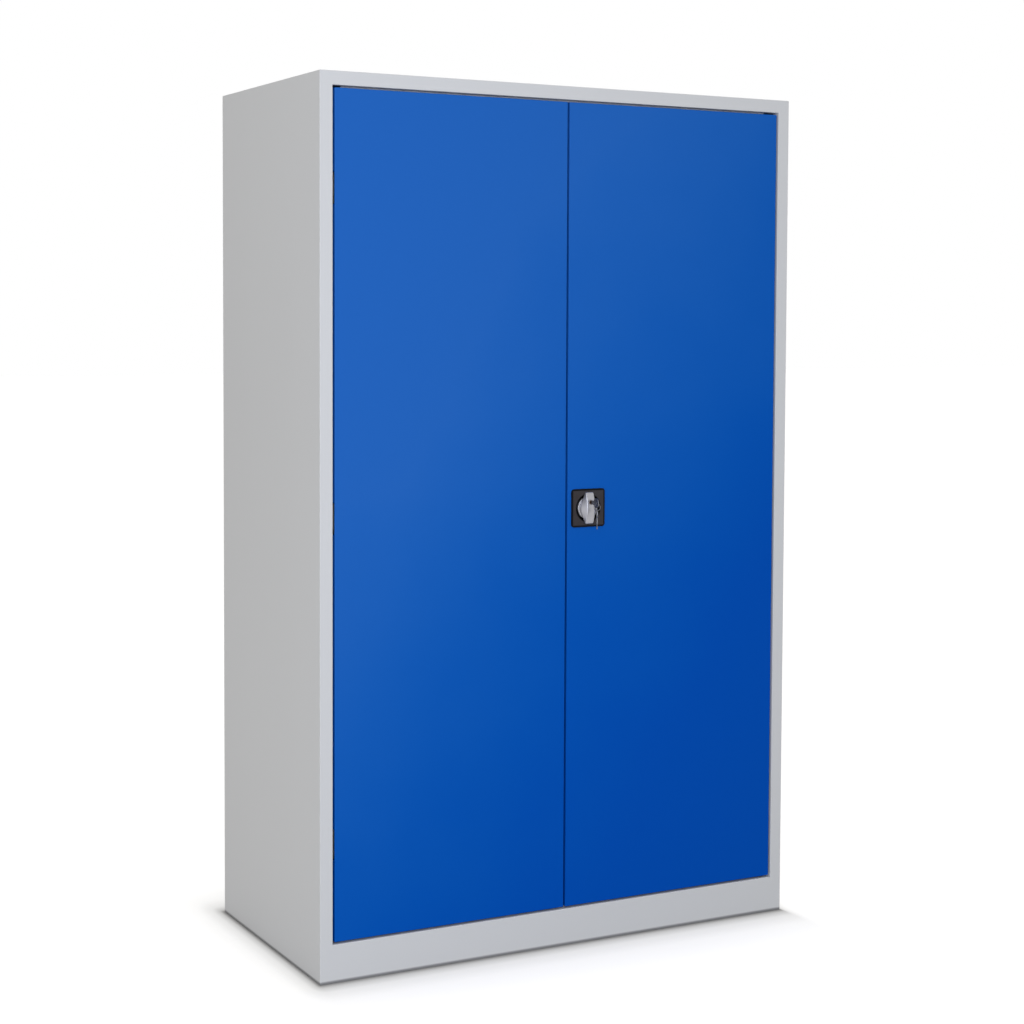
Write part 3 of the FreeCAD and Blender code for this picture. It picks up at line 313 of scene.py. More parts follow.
def powder_coat(name, colour, other, settings, gloss, level, light_and_shade_lean):
    """Satin powder coat on sheet: cloudy tone that differs at random, with painted light and shade laid
    over it along a lean (doors lighter to the upper left, carcass darker towards the bottom),
    orange-peel skin, slight waves of the sheet, and a painted shadow line where the lowest edge meets
    the floor. The tone runs from one colour to the other, and where the other is redder, its red
    comes in last."""
    foot_fade, foot_share, wave_height = 2 * mm, 0.75, 1.6 * mm
    material, shader = new_shader(name)
    # Painted light and shade: the tone grows along the lean, by place on the object.
    corner = shader.node("VectorMath", {"operation": "DOT_PRODUCT"}, {0: shader.place(), 1: light_and_shade_lean}, "Value")
    cloud_and_painted_light = shader.ramp(shader.noise(1.7, 3.0) * 0.3 + corner + level, (0.14, 0), (0.64, 1))
    height = shader.node("SeparateXYZ", {}, {0: shader.place()}, "Z")
    # Painted shadow line in the lowest few millimetres, by height.
    foot = shader.ramp(height, (settings.foot_shadow_height - foot_fade, foot_share), (settings.foot_shadow_height, 0))
    peel = shader.noise(380, 2.0)
    speck = shader.noise(1500, 1.0)
    wave = shader.noise(2.3, 1.0)
    tone = cloud_and_painted_light * 0.9 + speck * 0.2 - 0.08
    cool = (min(colour[0], other[0]), other[1], other[2], 1)
    paint = shader.mixed(tone, colour, shader.mixed(tone, cool, other))
    waved = shader.bump(wave, wave_height)
    shader.surface({
        "Base Color": shader.mixed(foot, paint, settings.foot_shadow_colour),
        "Roughness": settings.roughness + 0.08 * peel + 0.05 * cloud_and_painted_light - 0.065,
        "Specular IOR Level": gloss,
        "Normal": shader.bump(peel, settings.grain, waved),
    })
    return material


def zinc_plate(name, colour):
    """Zinc-plated sheet: fine spangle, faint cloudy film and rolling lines."""
    material, shader = new_shader(name)
    spangle = shader.node("TexVoronoi", {}, {"Vector": shader.place(), "Scale": 260}, "Color")
    film = shader.noise(24, 3.0)
    lines = shader.noise(30, 2.0, (1, 1, 24))
    dull = [0.80 * value for value in colour[:3]] + [1]
    warm = (colour[0], colour[1] * 0.97, colour[2] * 0.88, 1)
    grey = shader.node("SeparateColor", {}, {0: spangle})
    base = shader.mixed(grey * 0.5 + lines * 0.2, colour, dull)
    shader.surface({
        "Base Color": shader.mixed(film * 0.35, base, warm),
        "Metallic": 1,
        "Roughness": 0.30 + 0.16 * film + 0.08 * grey,
        "Normal": shader.bump(lines, fine_relief),
    })
    return material


def drawn_steel(name, colour):
    """Bright drawn bar: streaks along its length and dull spots."""
    material, shader = new_shader(name)
    streak = shader.noise(60, 3.0, (12, 12, 0.6))
    spot = shader.noise(45, 2.0)
    dark = [0.7 * value for value in colour[:3]] + [1]
    shader.surface({
        "Base Color": shader.mixed(streak * 0.5 + spot * 0.2, colour, dark),
        "Metallic": 1,
        "Roughness": 0.22 + 0.16 * streak + 0.08 * spot,
        "Normal": shader.bump(streak, fine_relief),
    })
    return material


def satin_casting(name, colour):
    """Satin-plated casting: fine peened skin and softly varying gloss."""
    material, shader = new_shader(name)
    peened = shader.noise(1800, 2.0)
    film = shader.noise(90, 3.0)
    dark = [0.78 * value for value in colour[:3]] + [1]
    shader.surface({
        "Base Color": shader.mixed(film * 0.6, colour, dark),
        "Metallic": 0.9,
        "Roughness": 0.34 + 0.12 * film + 0.06 * peened,
        "Normal": shader.bump(peened, 2 * fine_relief),
    })
    return material


def brass_face(name, colour):
    """Turned brass with tarnish in patches."""
    material, shader = new_shader(name)
    film = shader.noise(220, 3.0)
    fine = shader.noise(2400, 1.0)
    dull = (colour[0] * 0.55, colour[1] * 0.5, colour[2] * 0.5, 1)
    shader.surface({
        "Base Color": shader.mixed(film * 0.6, colour, dull),
        "Metallic": 1,
        "Roughness": 0.28 + 0.2 * film,
        "Normal": shader.bump(fine, fine_relief),
    })
    return material


def grained_black(name, colour, scale, roughness, border=None):
    """Moulded black with a fine grain and faint grey bloom; a plate has a smooth border and recess,
    darker there as painted shade of the gap round the plate and of the recess."""
    material, shader = new_shader(name)
    grain = shader.noise(scale, 2.0)
    bloom = shader.noise(70, 3.0)
    light = [1.5 * value for value in colour[:3]] + [1]
    tone = shader.mixed(bloom * 0.6 + grain * 0.2, colour, light)
    gloss = roughness + 0.14 * grain
    if border:
        # Smooth, and darker as painted shade, on the plate's border and in its recess.
        smooth = polished_and_shaded_share(shader)
        tone = shader.mixed(smooth, tone, border)
        gloss = gloss - 0.12 * smooth
    shader.surface({
        "Base Color": tone,
        "Roughness": gloss,
        "Specular IOR Level": 0.08,
        "Normal": shader.bump(grain, 6 * fine_relief),
    })
    return material


def polished_and_shaded_share(shader):
    """One on the plate's border and in its round recess, which are smooth and painted darker as shade,
    nothing on the grained field between them. Distances count tenfold, so that they spread over a ramp."""
    tenfold = 10
    recess_end, field_start, field_end, border_start = 31.8 * mm, 33 * mm, 38.5 * mm, 40.2 * mm
    spot = shader.node("VectorMath", {"operation": "SUBTRACT"}, {0: shader.place(), 1: lock_middle})
    sides = [shader.maths("ABSOLUTE", shader.node("SeparateXYZ", {}, {0: spot}, end)) for end in ("X", "Z")]
    reach = shader.maths("SQRT", sides[0] * sides[0] + sides[1] * sides[1])
    border = shader.ramp(tenfold * shader.maths("MAXIMUM", *sides),
                         (tenfold * field_end, 0), (tenfold * border_start, 1))
    recess = shader.ramp(tenfold * reach, (tenfold * recess_end, 1), (tenfold * field_start, 0))
    return shader.maths("MAXIMUM", border, recess)


def finish_of(slot):
    """Material of a slot, made once."""
    found = bpy.data.materials.get("finish_" + slot)
    if found:
        return found
    scene = bpy.context.scene
    paint, metal, moulded = scene.cabinet_paint, scene.cabinet_metal, scene.cabinet_moulded
    name = "finish_" + slot
    makers = {
        # The carcass turns to its darker grey lower down (painted shade); the doors turn to their lighter
        # blue at the upper left (painted light).
        "body_paint": lambda: powder_coat(name, paint.body_colour, paint.body_painted_shade, paint,
                                          gloss=0.3, level=0.25, light_and_shade_lean=(0, 0, -0.15)),
        "door_paint": lambda: powder_coat(name, paint.door_colour, paint.door_painted_light, paint,
                                          gloss=0.03, level=-0.06, light_and_shade_lean=(-0.37, 0, 0.33)),
        "zinc_steel": lambda: zinc_plate(name, metal.zinc),
        "bright_steel": lambda: drawn_steel(name, metal.steel),
        "handle_metal": lambda: satin_casting(name, metal.cast),
        "key_metal": lambda: satin_casting(name, metal.key),
        "cylinder_brass": lambda: brass_face(name, metal.brass),
        "lock_black": lambda: grained_black(name, moulded.plate, scale=2600, roughness=0.40,
                                            border=moulded.border),
        "buffer_rubber": lambda: grained_black(name, moulded.rubber, scale=1400, roughness=0.68),
    }
    return makers[slot]()


def dress(names):
    """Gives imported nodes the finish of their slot."""
    for name in names:
        node = nodes[name]
        if not node.material_slots:
            node.data.materials.append(None)
        for holder in node.material_slots:
            holder.material = finish_of(slot_of[name])


def ring_y(centre, radius, y, count):
    """Points of a circle about a front-to-back line."""
    angles = [full_turn * step / count for step in range(count)]
    return [Vector((centre[0] + radius * math.cos(a), y, centre[2] + radius * math.sin(a))) for a in angles]


def ring_z(centre, radius, z, count):
    """Points of a circle about a vertical line."""
    angles = [full_turn * step / count for step in range(count)]
    return [Vector((centre[0] + radius * math.cos(a), centre[1] + radius * math.sin(a), z)) for a in angles]


def skin(name, groups, sharp=35):
    """Object whose closed surfaces run over rings of like count; each group of rings is one body."""
    net = bmesh.new()
    for rings in groups:
        closed = rings[0] is rings[-1]
        loops = [[net.verts.new(point) for point in ring] for ring in (rings[:-1] if closed else rings)]
        if closed:
            loops.append(loops[0])
        for first, second in zip(loops, loops[1:]):
            for step in range(len(first)):
                after = (step + 1) % len(first)
                net.faces.new((first[step], first[after], second[after], second[step]))
        if not closed:
            net.faces.new(list(reversed(loops[0])))
            net.faces.new(loops[-1])
    bmesh.ops.recalc_face_normals(net, faces=net.faces)
    return object_from(name, net, sharp)


def object_from(name, net, sharp=35):
    """Object from a finished net, smooth but for its sharp edges."""
    mesh = bpy.data.meshes.new(name)
    net.to_mesh(mesh)
    net.free()
    made = bpy.data.objects.new(name, mesh)
    bpy.context.scene.collection.objects.link(made)
    shade(made, sharp)
    return made


def shade(made, sharp=35):
    """Smooth shading with sharp edges over an angle in degrees."""
    for face in made.data.polygons:
        face.use_smooth = True
    made.data.set_sharp_from_angle(angle=math.radians(sharp))


def applied(made):
    """Puts an object's modifiers into its mesh."""
    graph = bpy.context.evaluated_depsgraph_get()
    mesh = bpy.data.meshes.new_from_object(made.evaluated_get(graph))
    made.modifiers.clear()
    made.data = mesh


def combined(made, tools, operation="DIFFERENCE"):
    """Cuts tools out of an object or joins them to it, then welds the slivers that this leaves."""
    for tool in tools:
        step = made.modifiers.new("cut", "BOOLEAN")
        step.operation = operation
        step.solver = "EXACT"
        step.object = tool
    applied(made)
    for tool in tools:
        bpy.data.objects.remove(tool)
    net = bmesh.new()
    net.from_mesh(made.data)
    bmesh.ops.remove_doubles(net, verts=net.verts, dist=weld)
    bmesh.ops.dissolve_degenerate(net, edges=net.edges, dist=weld)
    bmesh.ops.triangulate(net, faces=[face for face in net.faces if len(face.verts) > 4])
    net.to_mesh(made.data)
    net.free()


def brick(name, low, high):
    """Box between two corners, used to cut."""
    net = bmesh.new()
    bmesh.ops.create_cube(net, size=1)
    size = Vector(high) - Vector(low)
    middle = (Vector(high) + Vector(low)) / 2
    net.transform(Matrix.Translation(middle) @ Matrix.Diagonal((*size, 1)))
    return object_from(name, net)


def fitted(made, node, finish=None):
    """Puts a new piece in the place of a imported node, on the node's body and in its slot, with the
    slot's finish or another one."""
    made.data.materials.clear()
    made.data.materials.append(finish_of(finish or slot_of[node]))
    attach(made, body_of[node])
    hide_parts(node)


def islands(node, gap=4 * mm):
    """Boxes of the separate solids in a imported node; what is closer than the gap counts as one."""
    boxes = []
    for vertex in nodes[node].data.vertices:
        low = high = vertex.co
        apart = []
        for box in boxes:
            if all(box[0][k] - gap <= vertex.co[k] <= box[1][k] + gap for k in range(3)):
                low = Vector(min(pair) for pair in zip(low, box[0]))
                high = Vector(max(pair) for pair in zip(high, box[1]))
            else:
                apart.append(box)
        boxes = apart + [(low, high)]
    return boxes


def rounding(radius, steps):
    """Quarter round from a side to a front: how far in, and how far short of the front."""
    angles = [math.pi / 2 * step / steps for step in range(steps + 1)]
    return [(radius * (1 - math.cos(a)), radius * (1 - math.sin(a))) for a in angles]


def eased(points, reaches, steps=4):
    """Closed outline with each corner rounded off over its own reach."""
    outline = []
    for place, corner in enumerate(points):
        before, after = points[place - 1], points[(place + 1) % len(points)]
        reach = reaches[place]
        start = corner + (before - corner).normalized() * reach
        end = corner + (after - corner).normalized() * reach
        for step in range(steps + 1):
            t = step / steps
            outline.append(start * (1 - t) ** 2 + corner * 2 * t * (1 - t) + end * t ** 2)
    return outline


lock_middle = middle_of("lock_plate")
key_middle = middle_of("lock_cylinder")
lock_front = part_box("lock_plate")[0].y
door_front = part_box("right_door_panel")[0].y


def rounded_square(half_x, half_z, corner, y, count):
    """Points of a square with round corners about the lock, at even angles as a ring has."""
    tiny = 1e-9
    points = []
    for step in range(count):
        angle = full_turn * step / count
        ray = Vector((math.cos(angle), math.sin(angle)))
        reach = min(half_x / max(abs(ray.x), tiny), half_z / max(abs(ray.y), tiny))
        spot = ray * reach
        core = Vector((half_x - corner, half_z - corner))
        if abs(spot.x) > core.x and abs(spot.y) > core.y:
            centre = Vector((math.copysign(core.x, ray.x), math.copysign(core.y, ray.y)))
            along = ray.dot(centre)
            across = centre.length_squared - along ** 2
            spot = ray * (along + math.sqrt(max(corner ** 2 - across, 0)))
        points.append(Vector((lock_middle.x + spot.x, y, lock_middle.z + spot.y)))
    return points


def turned_z(profile, spot, count=32):
    """Rings about an upright line, for a profile of radius and height."""
    return [ring_z(spot, radius, height, count) for radius, height in profile]


def turned_y(profile, spot, count=32):
    """Rings about a front-to-back line, for a profile of radius and y."""
    return [ring_y(spot, radius, y, count) for radius, y in profile]


def dome(radius, start, height, steps=5):
    """Profile of a low dome, from its edge to a small flat top; a negative height goes the other way."""
    flat = radius * 0.08
    angles = [math.pi / 2 * step / steps for step in range(steps)]
    return [(radius * math.cos(a), start + height * math.sin(a)) for a in angles] + [(flat, start + height)]


class CABINET_OT_carcass(Operator):
    """Paints carcass, uprights and shelves, and plates the clips and corner plates"""

    bl_idname = "cabinet.carcass"
    bl_label = "Carcass"

    def execute(self, context):
        dress(name for name in nodes if slot_of[name] == "body_paint")
        dress(["base_corner_plates"])
        dress(name for name in nodes if name.endswith("_clips"))
        return {"FINISHED"}


class CABINET_OT_doors(Operator):
    """Paints both doors and plates what is welded to them"""

    bl_idname = "cabinet.doors"
    bl_label = "Doors"

    def execute(self, context):
        dress(name for name in nodes if slot_of[name] == "door_paint")
        dress(name for name in nodes if name.endswith("_leaves"))
        dress(["left_door_strike", "upper_rod_guide", "lower_rod_guide"])
        return {"FINISHED"}


class CABINET_OT_hinge_pins(Operator):
    """Makes the hinge pins with domed heads"""

    bl_idname = "cabinet.hinge_pins"
    bl_label = "Hinge pins"

    head_height = 2 * mm
    head_radius = 4.2 * mm
    head_lip = 1.2 * mm
    chamfer = 0.6 * mm
    pin_gap = 40 * mm

    def execute(self, context):
        for side in ("left", "right"):
            node = side + "_hinge_pins"
            pins = [self.pin(low, high) for low, high in islands(node, self.pin_gap)]
            fitted(skin("hinge_pins_" + side, pins), node)
        return {"FINISHED"}

    def pin(self, low, high):
        """Pin with a chamfered foot and a domed head."""
        spot = (low + high) / 2
        neck = high.z - self.head_height
        rim = neck + self.head_height / 3
        radius = self.head_radius - self.head_lip
        profile = [(radius - self.chamfer, low.z), (radius, low.z + self.chamfer), (radius, neck),
                   (self.head_radius, neck), (self.head_radius, rim)]
        profile += dome(self.head_radius, rim, self.head_height * 2 / 3)[1:]
        return turned_z(profile, spot)


class CABINET_OT_lock_plate(Operator):
    """Makes the black plate with its round recess and finishes the gear case behind it"""

    bl_idname = "cabinet.lock_plate"
    bl_label = "Lock plate"

    half = 43.5 * mm
    corner = 7 * mm
    cup_half_x = 38 * mm
    cup_half_z = 39 * mm
    cup_corner = 2 * mm
    recess = 31.5 * mm
    recess_depth = 8 * mm
    bore = 8.1 * mm
    notch_half = 2.9 * mm
    notch_reach = 36 * mm
    points = 128

    def execute(self, context):
        edge = context.scene.cabinet_moulded.edge_radius
        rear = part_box("lock_plate")[1].y
        floor = lock_front + self.recess_depth
        rings = [self.circle(self.bore, floor)]
        for inset, short in reversed(rounding(edge, 4)):
            rings.append(self.circle(self.recess - short, floor - inset))
        for inset, short in rounding(edge / 2, 3):
            rings.append(self.circle(self.recess + inset, lock_front + short))
        for inset, short in reversed(rounding(edge, 4)):
            rings.append(self.square(inset, lock_front + short))
        rings.append(self.square(0, door_front))
        for y in (door_front, rear):
            rings.append(rounded_square(self.cup_half_x, self.cup_half_z, self.cup_corner, y, self.points))
        rings.append(self.circle(self.bore, rear))
        rings.append(rings[0])
        made = skin("lock_plate_black", [rings])
        combined(made, self.notches())
        fitted(made, "lock_plate")
        dress(["gear_case", "gear_case_cover"])
        return {"FINISHED"}

    def circle(self, radius, y):
        """Circle about the handle's line."""
        return ring_y(lock_middle, radius, y, self.points)

    def square(self, inset, y):
        """Outline of the plate, drawn in by an inset."""
        return rounded_square(self.half - inset, self.half - inset, self.corner - inset, y, self.points)

    def notches(self):
        """Cutters of the two notches that take the handle's bolt."""
        low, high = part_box("locking_bolt")
        near = self.recess - 2 * overrun
        spots = (
            ((-self.notch_half, near), (self.notch_half, self.notch_reach)),
            ((near, -self.notch_half), (self.notch_reach, self.notch_half)),
        )
        return [brick("notch", (lock_middle.x + a[0], low.y - bolt_play, lock_middle.z + a[1]),
                      (lock_middle.x + b[0], high.y + bolt_play, lock_middle.z + b[1])) for a, b in spots]


class CABINET_OT_turn_handle(Operator):
    """Makes the handle with disc, grip and hub, and the cylinder and plug in it"""

    bl_idname = "cabinet.turn_handle"
    bl_label = "Turn handle"

    disc_radius = 25.5 * mm
    disc_proud = 1.2 * mm
    disc_rear = door_front + 4 * mm
    hub_radius = 8 * mm
    hub_chamfer = 0.5 * mm
    half_length = 35.75 * mm
    base = 20 * mm
    plate_gap = 1 * mm
    heel_height = 1.2 * mm
    rear_edge = 0.2 * mm
    heel_edge = 0.5 * mm
    foot_proud = 1.6 * mm
    foot_inset = 0.5 * mm
    foot_least = 1 * mm
    middle_proud = 16 * mm
    end_proud = 8 * mm
    stations = ((0, 1, 1), (0.2, 0.965, 1.005), (0.4, 0.875, 1.03), (0.6, 0.765, 1.065), (0.75, 0.665, 1.10),
                (0.87, 0.59, 1.135), (0.95, 0.545, 1.14), (1, 0.515, 1.09))
    disc_edge = 1.5 * mm
    seat = 6.45 * mm
    seat_reach = 40 * mm
    pocket_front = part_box("lock_cylinder")[1].y
    pocket_rear = pocket_front + 3 * mm
    pocket_step = 0.05 * mm
    channel_half = 2.5 * mm
    channel_reach = 40 * mm
    bolt_throw = 4.53 * mm
    socket_half = 4 * mm
    pin_radius = 1.2 * mm
    pin_offset = 3.2 * mm
    pin_rear = pocket_front + 2.7 * mm
    keyway = (1.1 * mm, 3.6 * mm)
    keyway_depth = 14.3 * mm

    def execute(self, context):
        settings = context.scene.cabinet_handle
        hub_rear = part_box("turn_handle")[1].y
        disc_front = door_front - self.disc_proud
        edge = rounding(self.disc_edge, 4)
        profile = [(self.disc_radius, self.disc_rear)]
        profile += [(self.disc_radius - inset, disc_front + short) for inset, short in edge]
        disc = skin("turn_handle_cast", [turned_y(profile, lock_middle, 96)])
        foot = skin("foot", [[self.foot(y) for y in (lock_front - self.foot_proud, disc_front + overrun)]])
        grip = skin("grip", [[self.section(settings, *station) for station in self.along(settings)]])
        hub_profile = [(self.hub_radius, self.disc_rear - overrun),
                       (self.hub_radius, hub_rear - self.hub_chamfer),
                       (self.hub_radius - self.hub_chamfer, hub_rear)]
        hub = skin("hub", [turned_y(hub_profile, lock_middle, 48)])
        combined(disc, [foot, grip, hub], "UNION")
        combined(disc, self.cutters(hub_rear))
        shade(disc, 32)
        fitted(disc, "turn_handle")
        self.cylinder()
        self.plug()
        return {"FINISHED"}

    def along(self, settings):
        """Stations of the grip from its lower to its upper end, with round ends: share of the half
        length, base share, ridge share and how much the section has shrunk."""
        found = []
        for share, base, ridge in self.stations:
            straight = share * (self.half_length - settings.edge_radius) / self.half_length
            found.append((straight, base, ridge, 0))
        share, base, ridge, _ = found[-1]
        for inset, short in rounding(settings.edge_radius, 4)[1:]:
            found.append((1 - short / self.half_length, base, ridge, inset))
        return [(-share, base, ridge, shrunk) for share, base, ridge, shrunk in reversed(found[1:])] + found

    def section(self, settings, share, base_share, ridge_share, shrunk):
        """Cross-section of the grip: wide at its foot, with a narrow flat front."""
        z = lock_middle.z + share * self.half_length
        base = self.base * base_share - shrunk
        ridge = settings.ridge_width / 2 * ridge_share - shrunk
        rise = (self.middle_proud - self.end_proud) * (1 - share ** 2)
        front = door_front - self.end_proud - rise + shrunk
        back = lock_front - self.plate_gap
        heel = back - self.heel_height
        corners = [Vector((-base, back)), Vector((-base, heel)), Vector((-ridge, front)),
                   Vector((ridge, front)), Vector((base, heel)), Vector((base, back))]
        reaches = (self.rear_edge, self.heel_edge, settings.edge_radius)
        outline = eased(corners, reaches + reaches[::-1], 6)
        return [Vector((lock_middle.x + x, y, z)) for x, y in outline]

    def foot(self, y):
        """Outline of the grip's foot on the disc."""
        reach = self.disc_radius - self.disc_edge
        heights = [reach * math.sin(math.pi / 2 * step / 12) for step in range(-12, 13)]
        right = []
        for height in heights:
            share = min(1, abs(height) / self.half_length)
            wide = self.base * self.between(share) - self.foot_inset
            half = max(self.foot_least, min(wide, math.sqrt(max(reach ** 2 - height ** 2, 0))))
            right.append(Vector((lock_middle.x + half, y, lock_middle.z + height)))
        left = [Vector((2 * lock_middle.x - point.x, y, point.z)) for point in reversed(right)]
        return right + left

    def between(self, share):
        """Base share at a place along the grip."""
        for near, far in zip(self.stations, self.stations[1:]):
            if share <= far[0]:
                return near[1] + (far[1] - near[1]) * (share - near[0]) / (far[0] - near[0])
        return self.stations[-1][1]

    def cutters(self, hub_rear):
        """Cylinder seat, bolt pocket with its channel, and the spindle's square socket."""
        x, z = lock_middle.x, key_middle.z
        ends = [(self.seat, door_front - self.seat_reach), (self.seat, self.pocket_front)]
        seat = skin("seat", [turned_y(ends, key_middle, 64)])
        low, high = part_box("locking_bolt")
        wide = (high.x - low.x) / 2 + bolt_play
        pocket = brick("pocket", (x - wide, self.pocket_front - self.pocket_step, low.z - bolt_play),
                       (x + wide, self.pocket_rear, z + self.pin_radius + self.bolt_throw + bolt_play))
        slide = self.channel_half + bolt_play
        channel = brick("channel", (x - slide, self.pocket_front, z),
                        (x + slide, self.pocket_rear, lock_middle.z + self.channel_reach))
        side = self.socket_half
        socket = brick("socket", (x - side, self.disc_rear, lock_middle.z - side),
                       (x + side, hub_rear + overrun, lock_middle.z + side))
        return [seat, pocket, channel, socket]

    def cylinder(self):
        """Cylinder body with a bevelled front edge."""
        low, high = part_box("lock_cylinder")
        outer, inner, bevel = 6.4 * mm, 4.76 * mm, 0.35 * mm
        profile = [(inner, high.y), (outer, high.y), (outer, low.y + bevel), (outer - bevel, low.y),
                   (inner + bevel, low.y), (inner, low.y + bevel)]
        rings = turned_y(profile, key_middle, 64)
        made = skin("lock_cylinder_body", [rings + rings[:1]])
        fitted(made, "lock_cylinder")

    def plug(self):
        """Plug with its keyway and the pin that moves the bolt."""
        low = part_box("lock_plug")[0]
        radius, bevel = 4.7 * mm, 0.4 * mm
        profile = [(radius, self.pocket_front), (radius, low.y + bevel), (radius - bevel, low.y)]
        made = skin("lock_plug_brass", [turned_y(profile, key_middle, 64)])
        offset = self.pin_offset * math.sqrt(0.5)
        spot = key_middle + Vector((-offset, 0, -offset))
        ends = [(self.pin_radius, self.pocket_front - overrun), (self.pin_radius, self.pin_rear)]
        pin = skin("pin", [turned_y(ends, spot, 24)])
        combined(made, [pin], "UNION")
        half_x, half_z = self.keyway
        slot = brick("slot", (lock_middle.x - half_x, low.y - overrun, key_middle.z - half_z),
                     (lock_middle.x + half_x, low.y + self.keyway_depth, key_middle.z + half_z))
        combined(made, [slot])
        fitted(made, "lock_plug")


class CABINET_OT_lock_works(Operator):
    """Finishes spindle, pinion, rods, bolt and tongue, and makes screws and rivets"""

    bl_idname = "cabinet.lock_works"
    bl_label = "Lock works"

    def execute(self, context):
        dress(["handle_spindle", "drive_pinion", "upper_lock_rod", "lower_lock_rod", "locking_bolt",
               "latch_tongue"])
        for node in ("rod_guide_rivets", "strike_rivets"):
            made = skin(node.replace("rivets", "domed_rivets"), [self.rivet(*box) for box in islands(node)])
            fitted(made, node)
        self.screws()
        self.hexagon_screw()
        return {"FINISHED"}

    def rivet(self, low, high):
        """Rivet with a low dome at both ends."""
        shank, head, thick, rise = 2 * mm, 3.4 * mm, 0.5 * mm, 1.1 * mm
        inner = high.y - thick
        outer = low.y + thick
        front = dome(head, outer, -rise)[::-1]
        profile = front + [(shank, outer), (shank, inner)] + dome(head, inner, rise)
        return turned_y(profile, (low + high) / 2, 28)

    def screws(self):
        """Pan-head screws with a cross recess."""
        shank, tip, taper = 2 * mm, 1.6 * mm, 0.6 * mm
        radius, height = 3.8 * mm, 2.2 * mm
        arm, arm_half, depth = 2.1 * mm, 0.45 * mm, 1.2 * mm
        groups = []
        tools = []
        for low, high in islands("lock_screws"):
            spot = (low + high) / 2
            seat = high.y - height
            rim = seat + height / 3
            profile = [(tip, low.y), (shank, low.y + taper), (shank, seat), (radius, seat), (radius, rim)]
            profile += dome(radius, rim, height * 2 / 3, 6)[1:]
            groups.append(turned_y(profile, spot, 36))
            for half_x, half_z in ((arm, arm_half), (arm_half, arm)):
                tools.append(brick("cross", (spot.x - half_x, high.y - depth, spot.z - half_z),
                                   (spot.x + half_x, high.y + overrun, spot.z + half_z)))
        made = skin("lock_screws_crossed", groups)
        combined(made, tools)
        fitted(made, "lock_screws")

    def hexagon_screw(self):
        """Hexagon screw with a flange and a chamfered head on the spindle's end."""
        height, flange_height = 3 * mm, 0.8 * mm
        low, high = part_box("spindle_screw")
        seat = high.y - height
        top = seat + flange_height
        thread, tip, taper = 2.4 * mm, 2 * mm, 0.5 * mm
        disc, disc_edge = 6 * mm, 0.1 * mm
        corner, crown, crown_height = 5.4 * mm, 4.7 * mm, 0.4 * mm
        shank = [(tip, low.y), (thread, low.y + taper), (thread, seat + taper)]
        flange = [(disc - disc_edge, seat), (disc, seat + disc_edge), (disc, top - disc_edge),
                  (disc - 2 * disc_edge, top)]
        head = [(corner, top), (corner, high.y - crown_height), (crown, high.y)]
        shapes = ((shank, 36), (flange, 48), (head, 6))
        groups = [turned_y(profile, lock_middle, count) for profile, count in shapes]
        fitted(skin("spindle_screw_hexagon", groups), "spindle_screw")


